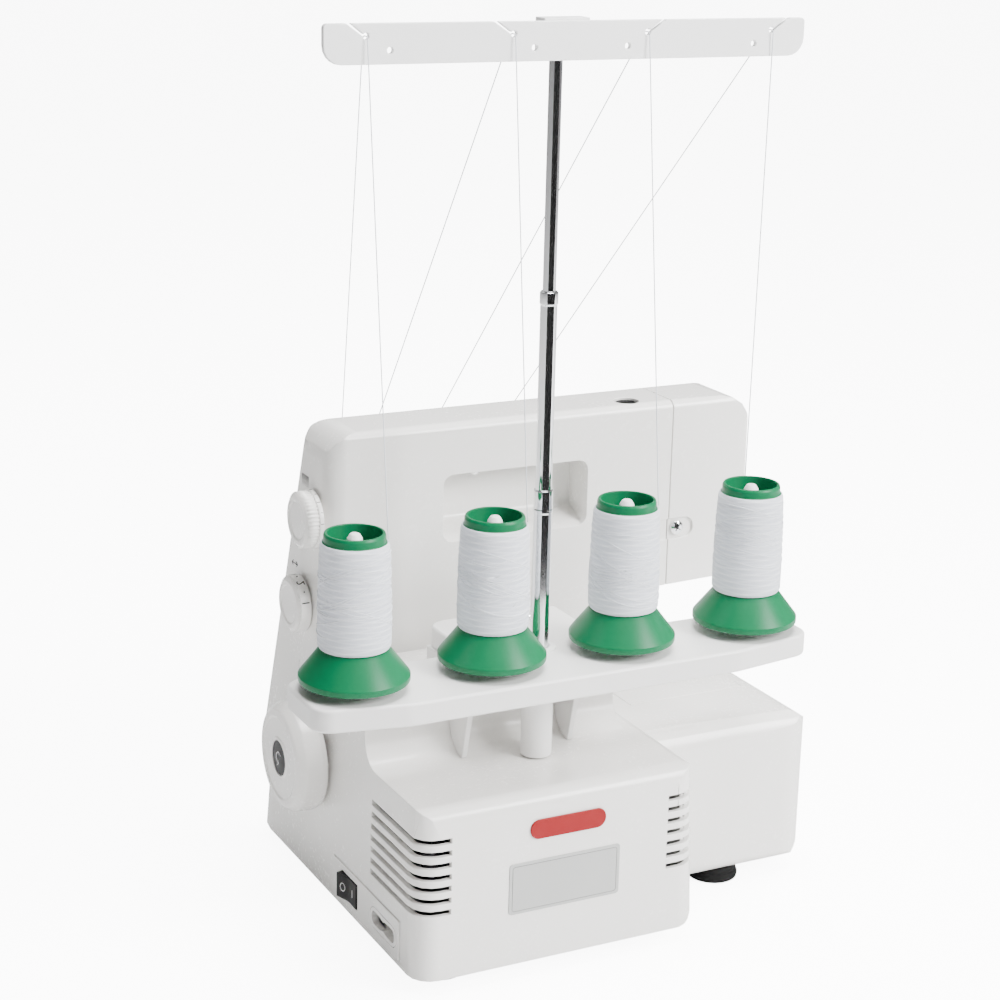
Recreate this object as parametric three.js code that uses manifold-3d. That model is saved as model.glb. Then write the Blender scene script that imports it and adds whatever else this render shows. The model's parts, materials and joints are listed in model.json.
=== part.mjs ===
// Overlock sewing machine with a four-spool thread stand, as separate pieces in millimetres.
// X to the operator's right, Y to the rear, Z up, the table at Z 0.
import * as THREE from "three";
import { mergeVertices } from "three/addons/utils/BufferGeometryUtils.js";
import Module from "manifold-3d";

const wasm = await Module();
wasm.setup();
const { Manifold, Mesh: SolidMesh } = wasm;

// Housing sizes
const rightX = 113, leftX = -165.6; // side faces at the base
const bottomZ = 8.6, topZ = 268.6; // housing underside and arm top
const bedZ = 101, armZ = 155.5; // top of the bed, underside of the arm
const stepZ = 119; // top of the front lower body
const bulgeZ = 104.4, shoulderZ = 138; // motor bulge and the shoulder behind the column
const bulgeLeft = -53.5, shoulderLeft = -41, columnLeft = -58;
const bulgeLean = 0.052; // outward lean of the bulge's left side per mm of drop
const armRear = -18.8, armFront = -60.9; // top edges of the arm
const bedRear = 71.3, wallRear = 44.2, bulgeRear = 118.7;
const frontLow = -121.4; // front edge at the base
const upperLean = 0.2376, lowerLean = 0.1866; // forward lean per mm of drop
const draft = 0.0443, draftFrom = 70; // inward lean of the right side above draftFrom
const wall = 3;
const seamX = -112; // face cover joint
const gap = 0.3; // clearance between touching pieces

// Drive
const shaftY = -24.8, shaftZ = 83.8, shaftR = 6;
const wheelR = 31.5, wheelIn = rightX + 1.3, wheelOut = wheelIn + 18.9;
const pulleyX = 82, pulleyR = 27, motorY = 76, motorZ = 56, motorPulleyR = 8;

// Sewing head
const needleX = -94.5, needleY = -52, presserX = -86.5, presserY = -31;
const barR = 3.6, presserR = 4;

// Thread stand
const poleX = 21.6, poleY = 71.5, plateZ = 166, plateT = 12.5;
const lowTopZ = plateZ + 88, midTopZ = lowTopZ + 105, barZ = midTopZ + 116, barTopZ = barZ + 19.3;
const lowR = 5.1, midR = 4.4, topR = 3.7;
const screwX = [4, 37], screwY = 27; // screws that hold the stand
const spoolPitch = 77.7, spoolRowX = 18.8, spoolY = 87.2;
const flangeR = 28.5, threadR = 18.5, coreR = 15.8; // spool flange, winding and core
const threadLowZ = plateZ + 22.6, threadHighZ = threadLowZ + 55.1, coreTopZ = threadHighZ + 4.7;

// Finishes
const finish = (color, roughness, metalness = 0) => new THREE.MeshStandardMaterial({ color, roughness,
  metalness });
const shellWhite = finish(0xe9e7e3, 0.32), plateWhite = finish(0xe6e4df, 0.4), barWhite = finish(0xf2f2f0,
  0.4);
const green = finish(0x0aa14f, 0.3), thread = finish(0xeceff4, 0.85), chrome = finish(0xcfd3d6, 0.12, 1);
const steel = finish(0xb8babb, 0.3, 1), alloy = finish(0x9fa2a4, 0.5, 0.9), black = finish(0x151515, 0.35);
const rubber = finish(0x111111, 0.85), glass = finish(0xfff3d6, 0.1), silver = finish(0xc4c4c0, 0.4, 0.3);
const red = finish(0xc8202c, 0.35), beige = finish(0xcfc7b4, 0.5), beltBlack = finish(0x1c1c1c, 0.8);

const root = new THREE.Group();

// Solid from any closed three.js geometry
function solid(geometry) {
  let g = geometry.index ? geometry.toNonIndexed() : geometry;
  g = g.clone();
  for (const key of Object.keys(g.attributes)) if (key !== "position") g.deleteAttribute(key);
  g = mergeVertices(g, 1e-4);
  const index = g.index.array, keep = [];
  for (let i = 0; i < index.length; i += 3) {
    const [a, b, c] = [index[i], index[i + 1], index[i + 2]];
    if (a !== b && b !== c && a !== c) keep.push(a, b, c);
  }
  const at = (i) => new THREE.Vector3().fromBufferAttribute(g.attributes.position, i);
  let volume = 0;
  for (let i = 0; i < keep.length; i += 3) volume += at(keep[i]).dot(at(keep[i + 1]).cross(at(keep[i + 2])));
  if (volume < 0) keep.reverse();
  const mesh = new SolidMesh({
    numProp: 3,
    vertProperties: new Float32Array(g.attributes.position.array),
    triVerts: new Uint32Array(keep),
  });
  return new Manifold(mesh);
}

const join = (first, ...others) => others.reduce((sum, item) => sum.add(item), first);
const cut = (first, ...others) => others.reduce((sum, item) => sum.subtract(item), first);
const common = (first, ...others) => others.reduce((sum, item) => sum.intersect(item), first);

function toGeometry(body) {
  const m = body.getMesh();
  const g = new THREE.BufferGeometry(), n = m.numProp, p = [];
  for (let i = 0; i < m.vertProperties.length; i += n) {
    p.push(m.vertProperties[i], m.vertProperties[i + 1], m.vertProperties[i + 2]);
  }
  g.setAttribute("position", new THREE.Float32BufferAttribute(p, 3));
  g.setIndex([...m.triVerts]);
  g.computeVertexNormals();
  return g;
}

function add(name, shape, material, position) {
  const mesh = new THREE.Mesh(shape.isBufferGeometry ? shape : toGeometry(shape), material);
  mesh.name = name;
  if (position) mesh.position.set(...position);
  root.add(mesh);
  return mesh;
}

// Closed outline from corners [x, y, radius]
function outline(corners, steps = 4) {
  const points = [], n = corners.length;
  for (let i = 0; i < n; i++) {
    const [px, py] = corners[(i + n - 1) % n], [cx, cy, want = 0] = corners[i], [nx,
      ny] = corners[(i + 1) % n];
    const c = new THREE.Vector2(cx, cy);
    if (want <= 0) { points.push(c); continue; }
    const a = new THREE.Vector2(px - cx, py - cy), b = new THREE.Vector2(nx - cx, ny - cy);
    const room = 0.48 * Math.min(a.length(), b.length());
    a.normalize();
    b.normalize();
    const half = Math.acos(THREE.MathUtils.clamp(a.dot(b), -1, 1)) / 2;
    const reach = Math.min(want / Math.tan(half), room), r = reach * Math.tan(half);
    const centre = c.clone().addScaledVector(a.clone().add(b).normalize(), r / Math.sin(half));
    const start = c.clone().addScaledVector(a, reach).sub(centre), end = c.clone().addScaledVector(b,
      reach).sub(centre);
    const from = start.angle();
    let turn = end.angle() - from;
    if (turn > Math.PI) turn -= 2 * Math.PI;
    if (turn < -Math.PI) turn += 2 * Math.PI;
    for (let k = 0; k <= steps; k++) {
      const t = from + (turn * k) / steps;
      points.push(new THREE.Vector2(centre.x + r * Math.cos(t), centre.y + r * Math.sin(t)));
    }
  }
  return new THREE.Shape(points);
}

// The same corners moved inward by d (counter-clockwise outlines)
function inset(corners, d) {
  const n = corners.length, lines = corners.map(([x, y], i) => {
    const [x2, y2] = corners[(i + 1) % n], len = Math.hypot(x2 - x, y2 - y);
    const nx = -(y2 - y) / len, ny = (x2 - x) / len;
    return { x: x + nx * d, y: y + ny * d, dx: (x2 - x) / len, dy: (y2 - y) / len };
  });
  return corners.map(([, , r = 0], i) => {
    const p = lines[(i + n - 1) % n], q = lines[i], det = p.dx * q.dy - p.dy * q.dx;
    const r2 = r ? Math.max(det > 0 ? r - d : r + d, 0.4) : 0;
    if (Math.abs(det) < 1e-6) return [q.x, q.y, r2];
    const t = ((q.x - p.x) * q.dy - (q.y - p.y) * q.dx) / det;
    return [p.x + p.dx * t, p.y + p.dy * t, r2];
  });
}

// Prisms along Z, X and Y from corners in (x, y), (y, z) and (x, z)
function prismZ(corners, z0, z1, steps, lean) {
  const g = new THREE.ExtrudeGeometry(outline(corners, steps), { depth: z1 - z0, bevelEnabled: false,
    curveSegments: 1 });
  g.translate(0, 0, z0);
  if (lean) {
    g.applyMatrix4(new THREE.Matrix4().set(
      1, 0, lean.x, -lean.x * lean.from, 0, 1, lean.y, -lean.y * lean.from, 0, 0, 1, 0, 0, 0, 0, 1));
  }
  return solid(g);
}
function prismX(corners, x0, x1, steps) {
  const g = new THREE.ExtrudeGeometry(outline(corners, steps), { depth: x1 - x0, bevelEnabled: false,
    curveSegments: 1 });
  g.applyMatrix4(new THREE.Matrix4().set(0, 0, 1, x0, 1, 0, 0, 0, 0, 1, 0, 0, 0, 0, 0, 1));
  return solid(g);
}
function prismY(corners, y0, y1, steps) {
  const g = new THREE.ExtrudeGeometry(outline(corners, steps), { depth: y1 - y0, bevelEnabled: false,
    curveSegments: 1 });
  g.applyMatrix4(new THREE.Matrix4().set(1, 0, 0, 0, 0, 0, -1, y1, 0, 1, 0, 0, 0, 0, 0, 1));
  return solid(g);
}
const box = (x0, x1, y0, y1, z0, z1) =>
  solid(new THREE.BoxGeometry(x1 - x0, y1 - y0, z1 - z0).translate((x0 + x1) / 2, (y0 + y1) / 2,
    (z0 + z1) / 2));

// Turned pieces from profile points [radius, height], about Z, or along X or Y
function turned(profile, segments, closed) {
  const points = profile.map(([r, h]) => new THREE.Vector2(r, h));
  if (closed) points.push(points[0].clone());
  return new THREE.LatheGeometry(points, segments);
}
function turnZ(profile, x, y, segments = 24, closed = false) {
  const g = turned(profile, segments, closed);
  g.applyMatrix4(new THREE.Matrix4().set(1, 0, 0, x, 0, 0, -1, y, 0, 1, 0, 0, 0, 0, 0, 1));
  return solid(g);
}
function turnX(profile, y, z, segments = 24, closed = false) {
  const g = turned(profile, segments, closed);
  g.applyMatrix4(new THREE.Matrix4().set(0, 1, 0, 0, -1, 0, 0, y, 0, 0, 1, z, 0, 0, 0, 1));
  return solid(g);
}
function turnY(profile, x, z, segments = 24, closed = false) {
  const g = turned(profile, segments, closed);
  g.applyMatrix4(new THREE.Matrix4().set(1, 0, 0, x, 0, 1, 0, 0, 0, 0, 1, z, 0, 0, 0, 1));
  return solid(g);
}
const rodX = (x0, x1, y, z, r, n = 20) => turnX([[0, x0], [r, x0], [r, x1], [0, x1]], y, z, n);
const rodY = (x, y0, y1, z, r, n = 20) => turnY([[0, y0], [r, y0], [r, y1], [0, y1]], x, z, n);
const rodZ = (x, y, z0, z1, r, n = 20) => turnZ([[0, z0], [r, z0], [r, z1], [0, z1]], x, y, n);

// Housing faces: the leaning sides, upper front and lower front
const sideX = (z) => rightX - draft * Math.max(0, z - draftFrom);
const upFront = (z) => armFront - upperLean * (topZ - z);
const lowFront = (z) => frontLow + lowerLean * (z - bottomZ);
const lowTopFront = lowFront(stepZ);
const cornerR = 30; // front right corner of the lower body
const frontPart = -200, rearPart = 300; // planes well clear of the machine

function upperShell(d) {
  const side = inset([[upFront(60), 60], [armRear, 60], [armRear, topZ, 5], [armFront, topZ, 9]], d);
  const front = inset([[columnLeft, 60], [sideX(60), 60], [sideX(topZ), topZ, 18], [leftX, topZ, 20],
    [leftX, armZ + 2, 9], [columnLeft, armZ - 1.5, 10]], d);
  const rearRight = inset([[-400, frontPart], [sideX(topZ), frontPart], [sideX(topZ), armRear, 12], [-400,
    armRear]], d);
  const rearLeft = inset([[leftX, frontPart], [400, frontPart], [400, armRear], [leftX, armRear, 3.5]], d);
  const noseRight = inset([[-400, armFront], [sideX(topZ), armFront, 10], [sideX(topZ), rearPart], [-400,
    rearPart]], d);
  const noseLeft = inset([[leftX, armFront, 20], [400, armFront], [400, rearPart], [leftX, rearPart]], d);
  return common(
    prismX(side, -400, 400), prismY(front, frontPart, rearPart),
    prismZ(rearRight, 0, 400, 5, { x: -draft, y: 0, from: topZ }), prismZ(rearLeft, 0, 400, 4),
    prismZ(noseRight, 0, 400, 5, { x: -draft, y: upperLean, from: topZ }),
    prismZ(noseLeft, 0, 400, 5, { x: 0, y: upperLean, from: topZ }));
}

function lowerShell(d) {
  const base = bottomZ, rim = 9;
  const bed = common(
    prismX(inset([[lowFront(base), base, rim], [bedRear, base, rim], [bedRear, bedZ, 13],
      [lowFront(bedZ), bedZ, 8]], d), -400, 400),
    prismY(inset([[leftX + 5, base, 15], [rightX, base], [rightX, draftFrom], [sideX(bedZ), bedZ],
      [leftX, bedZ, 21]], d), frontPart, rearPart),
    prismZ(inset([[leftX, frontPart], [rightX, frontPart], [rightX, bedRear], [leftX, bedRear, 24]], d),
      -50, 300),
    prismZ(inset([[leftX, frontLow, 20], [rightX, frontLow, cornerR], [rightX, rearPart], [leftX,
      rearPart]], d),
      -50, 300, 5, { x: 0, y: lowerLean, from: bottomZ }));
  const bulgeEnd = prismZ(inset([[-400, frontPart], [rightX, frontPart], [rightX, bulgeRear, 13],
    [-400, bulgeRear]], d), -50, 300);
  const bulge = common(bulgeEnd,
    prismX(inset([[-50, base], [bulgeRear, base], [bulgeRear, bulgeZ, 9], [-50, bulgeZ]], d), -400, 400, 6),
    prismY(inset([[bulgeLeft - bulgeLean * (bulgeZ - base), base, 12], [rightX, base], [rightX, draftFrom],
      [sideX(bulgeZ), bulgeZ], [bulgeLeft, bulgeZ, 8]], d), frontPart, rearPart),
    prismZ(inset([[bulgeLeft, frontPart], [400, frontPart], [400, bulgeRear], [bulgeLeft, bulgeRear, 14]],
      d),
      -50, 300, 5, { x: bulgeLean, y: 0, from: bulgeZ }));
  const shoulder = common(bulgeEnd,
    prismX(inset([[-50, base], [bulgeRear, base], [bulgeRear, bulgeZ, 9], [wallRear + 1, bulgeZ, 16],
      [wallRear, shoulderZ, 8], [-50, shoulderZ]], d), -400, 400, 6),
    prismY(inset([[shoulderLeft, base], [rightX, base], [rightX, draftFrom], [sideX(shoulderZ), shoulderZ,
      6],
      [shoulderLeft, shoulderZ, 6]], d), frontPart, rearPart));
  const step = common(
    prismX(inset([[lowFront(base), base, rim], [-40, base], [-40, stepZ], [lowTopFront, stepZ, 9]], d),
      -400, 400),
    prismY(inset([[columnLeft - 6, base], [rightX, base], [rightX, draftFrom], [sideX(stepZ), stepZ, 7],
      [columnLeft - 6, stepZ, 7]], d), frontPart, rearPart),
    prismZ(inset([[columnLeft - 6, frontLow], [rightX, frontLow, cornerR], [rightX, rearPart],
      [columnLeft - 6, rearPart]], d), -50, 300, 5, { x: 0, y: lowerLean, from: bottomZ }));
  return join(bed, bulge, shoulder, step);
}

const skin = join(upperShell(0), lowerShell(0));
const inside = join(upperShell(wall), lowerShell(wall));

// Slab following a leaning front face, from out to in mm behind it, with corners in (x, z)
function frontSlab(corners, out, into, lean, faceY, fromZ) {
  const g = new THREE.ExtrudeGeometry(outline(corners, 4), { depth: into - out, bevelEnabled: false,
    curveSegments: 1 });
  g.applyMatrix4(new THREE.Matrix4().set(1, 0, 0, 0, 0, lean, -1, faceY + into - lean * fromZ, 0, 1, 0, 0,
    0, 0, 0, 1));
  return solid(g);
}
const frame4 = (x0, x1, z0, z1, r) => [[x0, z0, r], [x1, z0, r], [x1, z1, r], [x0, z1, r]];

// Tension panel window and looper window
const panelX0 = -48, panelX1 = 90, panelZ0 = 140, panelZ1 = 250;
const looperX0 = -104, looperX1 = 84, looperZ0 = 28, looperZ1 = 90;
const panelSlab = (grow, out, into) => frontSlab(
  frame4(panelX0 - grow, panelX1 + grow, panelZ0 - grow, panelZ1 + grow, 6 + grow), out, into, upperLean,
    armFront, topZ);
const looperSlab = (grow, out, into) => frontSlab(
  frame4(looperX0 - grow, looperX1 + grow, looperZ0 - grow, looperZ1 + grow, 5 + grow), out, into,
    lowerLean, frontLow, bottomZ);

// Grip recess in the rear of the arm
const gripX0 = -56, gripX1 = 36, gripZ0 = 200, gripZ1 = 239, gripDepth = 22;
const gripLip = 7, gripR = 6;
const gripPocket = (grow) => common(
  join(prismY(frame4(gripX0 - grow, gripX1 + grow, gripZ0 - grow, gripZ1 + grow, gripR + grow),
    armRear - gripDepth - grow, armRear + 10, 4),
  prismY(frame4(gripX0 - grow, gripX1 + grow, gripZ0 - grow, gripZ1 + gripLip + grow, gripR + grow),
    armRear - gripDepth - grow, armRear - 6 + grow, 4)),
  prismX(inset([[armRear - gripDepth, gripZ0 + 7, 4], [armRear, gripZ0 - 0.1], [armRear + 20, gripZ0 - 2],
    [armRear + 20, topZ], [armRear - gripDepth, topZ]], -grow), -400, 400, 4));

// Cooling slots, wrapped round the two rear corners of the bulge
const ventCount = 7, ventTop = 87, ventPitch = 6.65, ventH = 3;
const vents = [];
for (let i = 0; i < ventCount; i++) {
  const z0 = ventTop - i * ventPitch - ventH / 2, z1 = z0 + ventH;
  vents.push(join(box(rightX - 6, rightX + 5, bulgeRear - 61, bulgeRear + 5, z0, z1),
    box(rightX - 19, rightX + 5, bulgeRear - 6, bulgeRear + 5, z0, z1)));
  vents.push(join(box(bulgeLeft - 10, bulgeLeft + 18.5, bulgeRear - 6, bulgeRear + 5, z0, z1),
    box(bulgeLeft - 10, bulgeLeft + 3, bulgeRear - 16, bulgeRear + 5, z0, z1)));
}

// Switch and inlet panel window in the right side
const plateY0 = 8, plateY1 = 97, plateZ0 = 12, plateZ1 = 35.5;
const dialX = rightX + 4.4, highDial = [-36.4, 217.6], lowDial = [-49.6, 164.6];
const dialIn = (z) => sideX(z) + 0.6;

const topHole = [presserX, presserY + 0.5, 7.4];
const floorCorners = [[leftX + 11, frontLow, 18], [rightX, frontLow, cornerR - 2], [rightX, bulgeRear, 11],
  [bulgeLeft + 3, bulgeRear, 7], [bulgeLeft + 3, bedRear], [leftX + 11, bedRear, 20]];
const clothX0 = -143, clothX1 = -66.5, clothY0 = -98, clothY1 = 22;

let housing = cut(join(cut(skin, inside), common(gripPocket(wall), skin)),
  gripPocket(0), panelSlab(0, -30, wall + 3), looperSlab(0, -30, wall + 3),
  box(leftX - 10, seamX + gap, -150, 0, armZ - 15, topZ + 10),
  box(clothX0, clothX1, clothY0, clothY1, bedZ - wall - 2, bedZ + 5),
  box(-104, -60, -62, armRear - wall - 0.6, armZ - 10, armZ + 12),
  box(rightX - wall - 8, rightX + 5, plateY0, plateY1, plateZ0, plateZ1),
  prismZ(inset(floorCorners, wall + 4 - gap), bottomZ - 1, bottomZ + wall + 2, 4),
  rodX(rightX - 13, rightX + 12, shaftY, shaftZ, shaftR + 1),
  rodX(rightX - 23, rightX + 12, ...highDial, 3.4), rodX(rightX - 23, rightX + 12, ...lowDial, 3.4),
  rodZ(topHole[0], topHole[1], topZ - 12, topZ + 5, topHole[2], 24),
  ...screwX.map((x) => rodZ(x, screwY, shoulderZ - 12, shoulderZ + 5, 2.6, 16)),
  ...vents);

// Screw recess shared by the housing and the face cover
const coverScrew = [-118, 190.8];
const ovalCorners = [[-129, 184.5, 5.6], [-102, 184, 5.6], [-102, 196.5, 5.6], [-129, 197, 5.6]];
const oval = prismY(ovalCorners, armRear - 1.7, armRear + 5, 4);
housing = cut(housing, oval);
add("housing", housing, shellWhite);

const coverSkin = common(upperShell(0), box(leftX - 10, seamX - gap, -150, 10, 60, topZ + 10));
const coverInside = common(upperShell(wall), box(leftX - 10, seamX + 5, -150, 10, 60, topZ + 10));
const lampSocket = rodZ(-142, -48, 196, topZ - 1, 7.5, 20);
add("face_cover", join(lampSocket, cut(coverSkin, coverInside, oval, rodY(coverScrew[0], armRear - 10,
  armRear + 5, coverScrew[1], 2.4, 16),
  rodZ(-142, -48, armZ - 10, armZ + 10, 9, 20))), shellWhite);

// Covers and plates
const tensionX = [-30, 4, 38, 72], tensionR = 19, tensionT = 7, tensionZ = 198;
const tensionY = upFront(tensionZ) + 10;
const panelHoles = tensionX.map((x) => box(x - tensionT / 2 - 0.8, x + tensionT / 2 + 0.8, tensionY - 40,
  tensionY - 2,
  tensionZ - 19, tensionZ + 19.5));
const lugs = [panelX0 + 3, panelX1 - 8].map((x) => cut(box(x, x + 4, tensionY - 14, tensionY + 4,
  tensionZ - 5, tensionZ + 5),
  box(x - 1, x + 6, tensionY - 20, upFront(tensionZ - 5) + 1, tensionZ - 6, tensionZ + 6)));
add("tension_panel", join(cut(panelSlab(-gap, 0, wall), ...panelHoles), ...lugs,
  rodX(panelX0 + 4, panelX1 - 5, tensionY, tensionZ, 2.5, 16)), shellWhite);
add("looper_cover", join(looperSlab(-gap, 0, wall), frontSlab(frame4(-22, 22, 80, 86, 2.5), -3, 0.5,
  lowerLean, frontLow,
  bottomZ)), shellWhite);

const needlePlateX0 = -110, needlePlateX1 = -74, needlePlateY0 = -88, needlePlateY1 = -12;
const dogX = [-99.5, -90.5], dogFront = [-78, -58], dogRear = [-46, -20];
const feedStroke = 2; // each way from rest
const knifeX = -81, knifeY0 = -74, knifeY1 = -58;
const plateHoles = [box(needleX - 4, needleX + 4, needleY - 2, needleY + 2, bedZ - 10, bedZ + 5),
  box(knifeX - 1.6, knifeX + 1.6, knifeY0 - 0.6, knifeY1 + 0.6, bedZ - 10, bedZ + 5)];
for (const x of dogX) for (const [y0, y1] of [dogFront, dogRear]) {
  plateHoles.push(box(x - 2, x + 2, y0 - feedStroke - 0.6, y1 + feedStroke + 0.6, bedZ - 10, bedZ + 5));
}
add("cloth_plate", cut(
  prismZ([[clothX0 + gap, clothY0 + gap, 1], [clothX1 - gap, clothY0 + gap, 1], [clothX1 - gap,
    clothY1 - gap, 1],
    [clothX0 + gap, clothY1 - gap, 1]], bedZ - wall, bedZ, 2),
  box(needlePlateX0 - gap, needlePlateX1 + gap, needlePlateY0 - gap, needlePlateY1 + gap, bedZ - 10,
    bedZ + 5)), shellWhite);
const lowerKnife = box(knifeX + 1.6, knifeX + 4.6, knifeY0, knifeY1, bedZ - 18, bedZ - 1);
add("needle_plate", join(lowerKnife, cut(
  prismZ([[needlePlateX0, needlePlateY0, 3], [needlePlateX1, needlePlateY0, 3], [needlePlateX1,
    needlePlateY1, 3],
    [needlePlateX0, needlePlateY1, 3]], bedZ - 2.2, bedZ + 0.2, 3), ...plateHoles)), steel);

add("floor_plate", prismZ(inset(floorCorners, wall + 4), bottomZ + 0.4, bottomZ + 2.9, 4), silver);
const feet = [[-107, 54.5], [-140, -92], [88, 92], [88, -92]];
feet.forEach(([x, y], i) => add(`foot_${i + 1}`, turnZ([[0, 0], [12.5, 0], [14.6, 1.2], [15, 3], [14,
  bottomZ + 0.1],
  [0, bottomZ + 0.1]], 0, 0, 18), rubber, [x, y, 0]));

// Rear label, badge and switch panel
add("rating_plate", prismY(frame4(-5.5, 60.6, 38, 67, 2), bulgeRear + 0.2, bulgeRear + 0.8, 2), silver);
add("rear_badge", prismY(frame4(4, 49, 79, 90, 5.4), bulgeRear + 0.2, bulgeRear + 1, 4), red);

const panelOut = 0.8; // how far the switch panel stands proud
const rockerY = 31.2, rockerZ = 24, rockerHalfY = 10.6, rockerHalfZ = 7.2, inletY = 76.5, inletZ = 23;
const panelPlate = prismX([[plateY0 + gap, plateZ0 + gap, 1], [plateY1 - gap, plateZ0 + gap, 1],
  [plateY1 - gap, plateZ1 - gap, 1], [plateY0 + gap, plateZ1 - gap, 1]], rightX - wall, rightX + panelOut,
    2);
const inletCorners = (d) => inset([[inletY - 16, inletZ - 5, 4.8], [inletY + 16, inletZ - 5, 4.8],
  [inletY + 16, inletZ + 5, 4.8],
  [inletY - 16, inletZ + 5, 4.8]], d);
const rockerWell = cut(box(rightX - 14, rightX - 0.2, rockerY - rockerHalfY - 2.2,
  rockerY + rockerHalfY + 2.2,
  rockerZ - rockerHalfZ - 2.2, rockerZ + rockerHalfZ + 2.2),
  box(rightX - 12, rightX + 5, rockerY - rockerHalfY - 0.6, rockerY + rockerHalfY + 0.6,
  rockerZ - rockerHalfZ - 0.5, rockerZ + rockerHalfZ + 0.5));
add("switch_panel", join(cut(panelPlate,
  box(rightX - 10, rightX + 5, rockerY - rockerHalfY - 0.6, rockerY + rockerHalfY + 0.6,
    rockerZ - rockerHalfZ - 0.5, rockerZ + rockerHalfZ + 0.5),
  prismX(inletCorners(-1.3), rightX - 10, rightX + 5, 4)), rockerWell), shellWhite);
const rockerTilt = 8;
const rockerGeometry = new THREE.ExtrudeGeometry(outline([[-rockerHalfY, -3, 1],
  [rockerHalfY, -3, 1], [rockerHalfY, 2.4, 1], [0, 0.4, 6], [-rockerHalfY, 2.4, 1]], 3),
  { depth: rockerHalfZ * 2, bevelEnabled: false, curveSegments: 1 });
rockerGeometry.applyMatrix4(new THREE.Matrix4().set(0, 1, 0, 0, -1, 0, 0, 0, 0, 0, 1, -rockerHalfZ, 0, 0,
  0, 1));
rockerGeometry.rotateZ(THREE.MathUtils.degToRad(rockerTilt));
add("rocker", solid(rockerGeometry), black, [rightX + 0.6, rockerY, rockerZ]);
const inletPins = [-7, 7].map((dy) => rodX(rightX - 15.5, rightX - 7, inletY + dy, inletZ, 1.5, 12));
const socketHalf = [[-14.8, -3.8, 3.7], [-4, -3.8, 1.5], [0, -2.7, 1.5], [4, -3.8, 1.5], [14.8, -3.8, 3.7]];
const socket = [...socketHalf, ...socketHalf.map(([a, b, r]) => [-a, -b, r])].map(([a, b, r]) =>
  [inletY + a, inletZ + b, r]);
add("inlet_socket", join(cut(prismX(inletCorners(-1), rightX - 18, rightX + panelOut, 4),
  prismX(socket, rightX - 15, rightX + 5, 4)), ...inletPins), shellWhite);

// Handwheel and dials
add("handwheel", turnX([[shaftR + gap, wheelIn], [wheelR - 5, wheelIn], [wheelR, wheelIn + 2], [wheelR,
  wheelOut - 6],
  [wheelR - 2, wheelOut - 2], [wheelR - 6.5, wheelOut], [10.2, wheelOut], [10.2, wheelOut - 1.6],
    [shaftR + gap, wheelOut - 1.6]],
shaftY, shaftZ, 34, true), shellWhite);
add("wheel_badge", rodX(wheelOut - 1.3, wheelOut - 0.3, shaftY, shaftZ, 9.9, 32), black);

function dial(name, [y, z], skirt) {
  const inner = dialIn(z), ridges = 16, ring = [];
  for (let i = 0; i < ridges * 2; i++) {
    const t = (i / (ridges * 2)) * Math.PI * 2, r = i % 2 ? 15.6 : 16.1;
    ring.push([r * Math.cos(t), r * Math.sin(t)]);
  }
  const grip = prismX(ring.map(([a, b]) => [a + y, b + z]), inner + skirt, dialX - 1);
  const body = join(turnX([[0, inner], [16.4, inner], [16.4, inner + skirt], [15.2, inner + skirt + 0.1],
    [15.2, dialX - 1.2],
    [13.8, dialX], [11, dialX - 0.7], [0, dialX - 0.7]], y, z, 24), grip,
  rodX(inner - 12, inner + 1, y, z, 3, 16));
  add(name, body, shellWhite);
}
dial("feed_dial", highDial, 2.5);
dial("length_dial", lowDial, 6);

// Tension dials
tensionX.forEach((x, i) => add(`tension_dial_${i + 1}`, turnX([[2.8, -tensionT / 2], [15, -tensionT / 2],
  [tensionR, -tensionT / 2 + 1.2],
  [tensionR, tensionT / 2 - 1.2], [15, tensionT / 2], [2.8, tensionT / 2]], 0, 0, 22, true), shellWhite,
    [x, tensionY, tensionZ]));
const guideX = [76, 55.6, 17.9, -28], guideZ = topZ - 14.1, guideY = upFront(guideZ) - 6.4;
const guideBody = prismZ([[guideX[3] - 9, guideY - 3.6, 3], [guideX[0] + 9, guideY - 3.6, 3],
  [guideX[0] + 9, upFront(guideZ) - 0.7], [guideX[3] - 9, upFront(guideZ) - 0.7]], guideZ - 1.2,
    guideZ + 0.2, 3);
add("front_guide", cut(guideBody, ...guideX.map((x) => rodZ(x, guideY, guideZ - 5, guideZ + 5, 1.3, 12))),
  steel);

// Sewing head
const stroke = 24, clampZ = 146, needleTip = 113;
add("needle_bar", rodZ(needleX, needleY, clampZ + 6.3, 262, barR, 20), chrome);
const needles = [-1.8, 1.8].map((dx) => turnZ([[0, needleTip], [0.35, needleTip + 3], [0.45, clampZ - 16],
  [0.85, clampZ - 13],
  [0.85, clampZ + 3.6], [0, clampZ + 3.6]], needleX + dx, needleY, 10));
add("needle_clamp", join(box(needleX - 5, needleX + 5, needleY - 5, needleY + 5, clampZ - 4, clampZ + 6),
  rodX(needleX - 12, needleX - 4, needleY, clampZ, 1.6, 12), ...needles), steel);
const soleZ = bedZ + 0.6;
const sole = cut(join(
  prismX([[-82, soleZ + 4.6], [-72, soleZ], [-14, soleZ], [-14, soleZ + 2.2], [-71, soleZ + 2.4], [-81,
    soleZ + 6.6]],
    needleX - 10.5, needleX + 9),
  box(presserX - 6, presserX + 3, presserY - 5, presserY + 5, soleZ + 1, soleZ + 15)),
box(needleX - 5, needleX + 5, needleY - 3.5, needleY + 3.5, soleZ - 5, soleZ + 8));
add("presser_foot", cut(sole, rodZ(presserX, presserY, soleZ + 5, soleZ + 20, presserR - 1.2, 16)), chrome);
add("presser_bar", join(rodZ(presserX, presserY, soleZ + 15.3, 245, presserR, 20),
  rodZ(presserX, presserY, soleZ + 6, soleZ + 16, presserR - 1.5, 16)), chrome);
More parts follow.
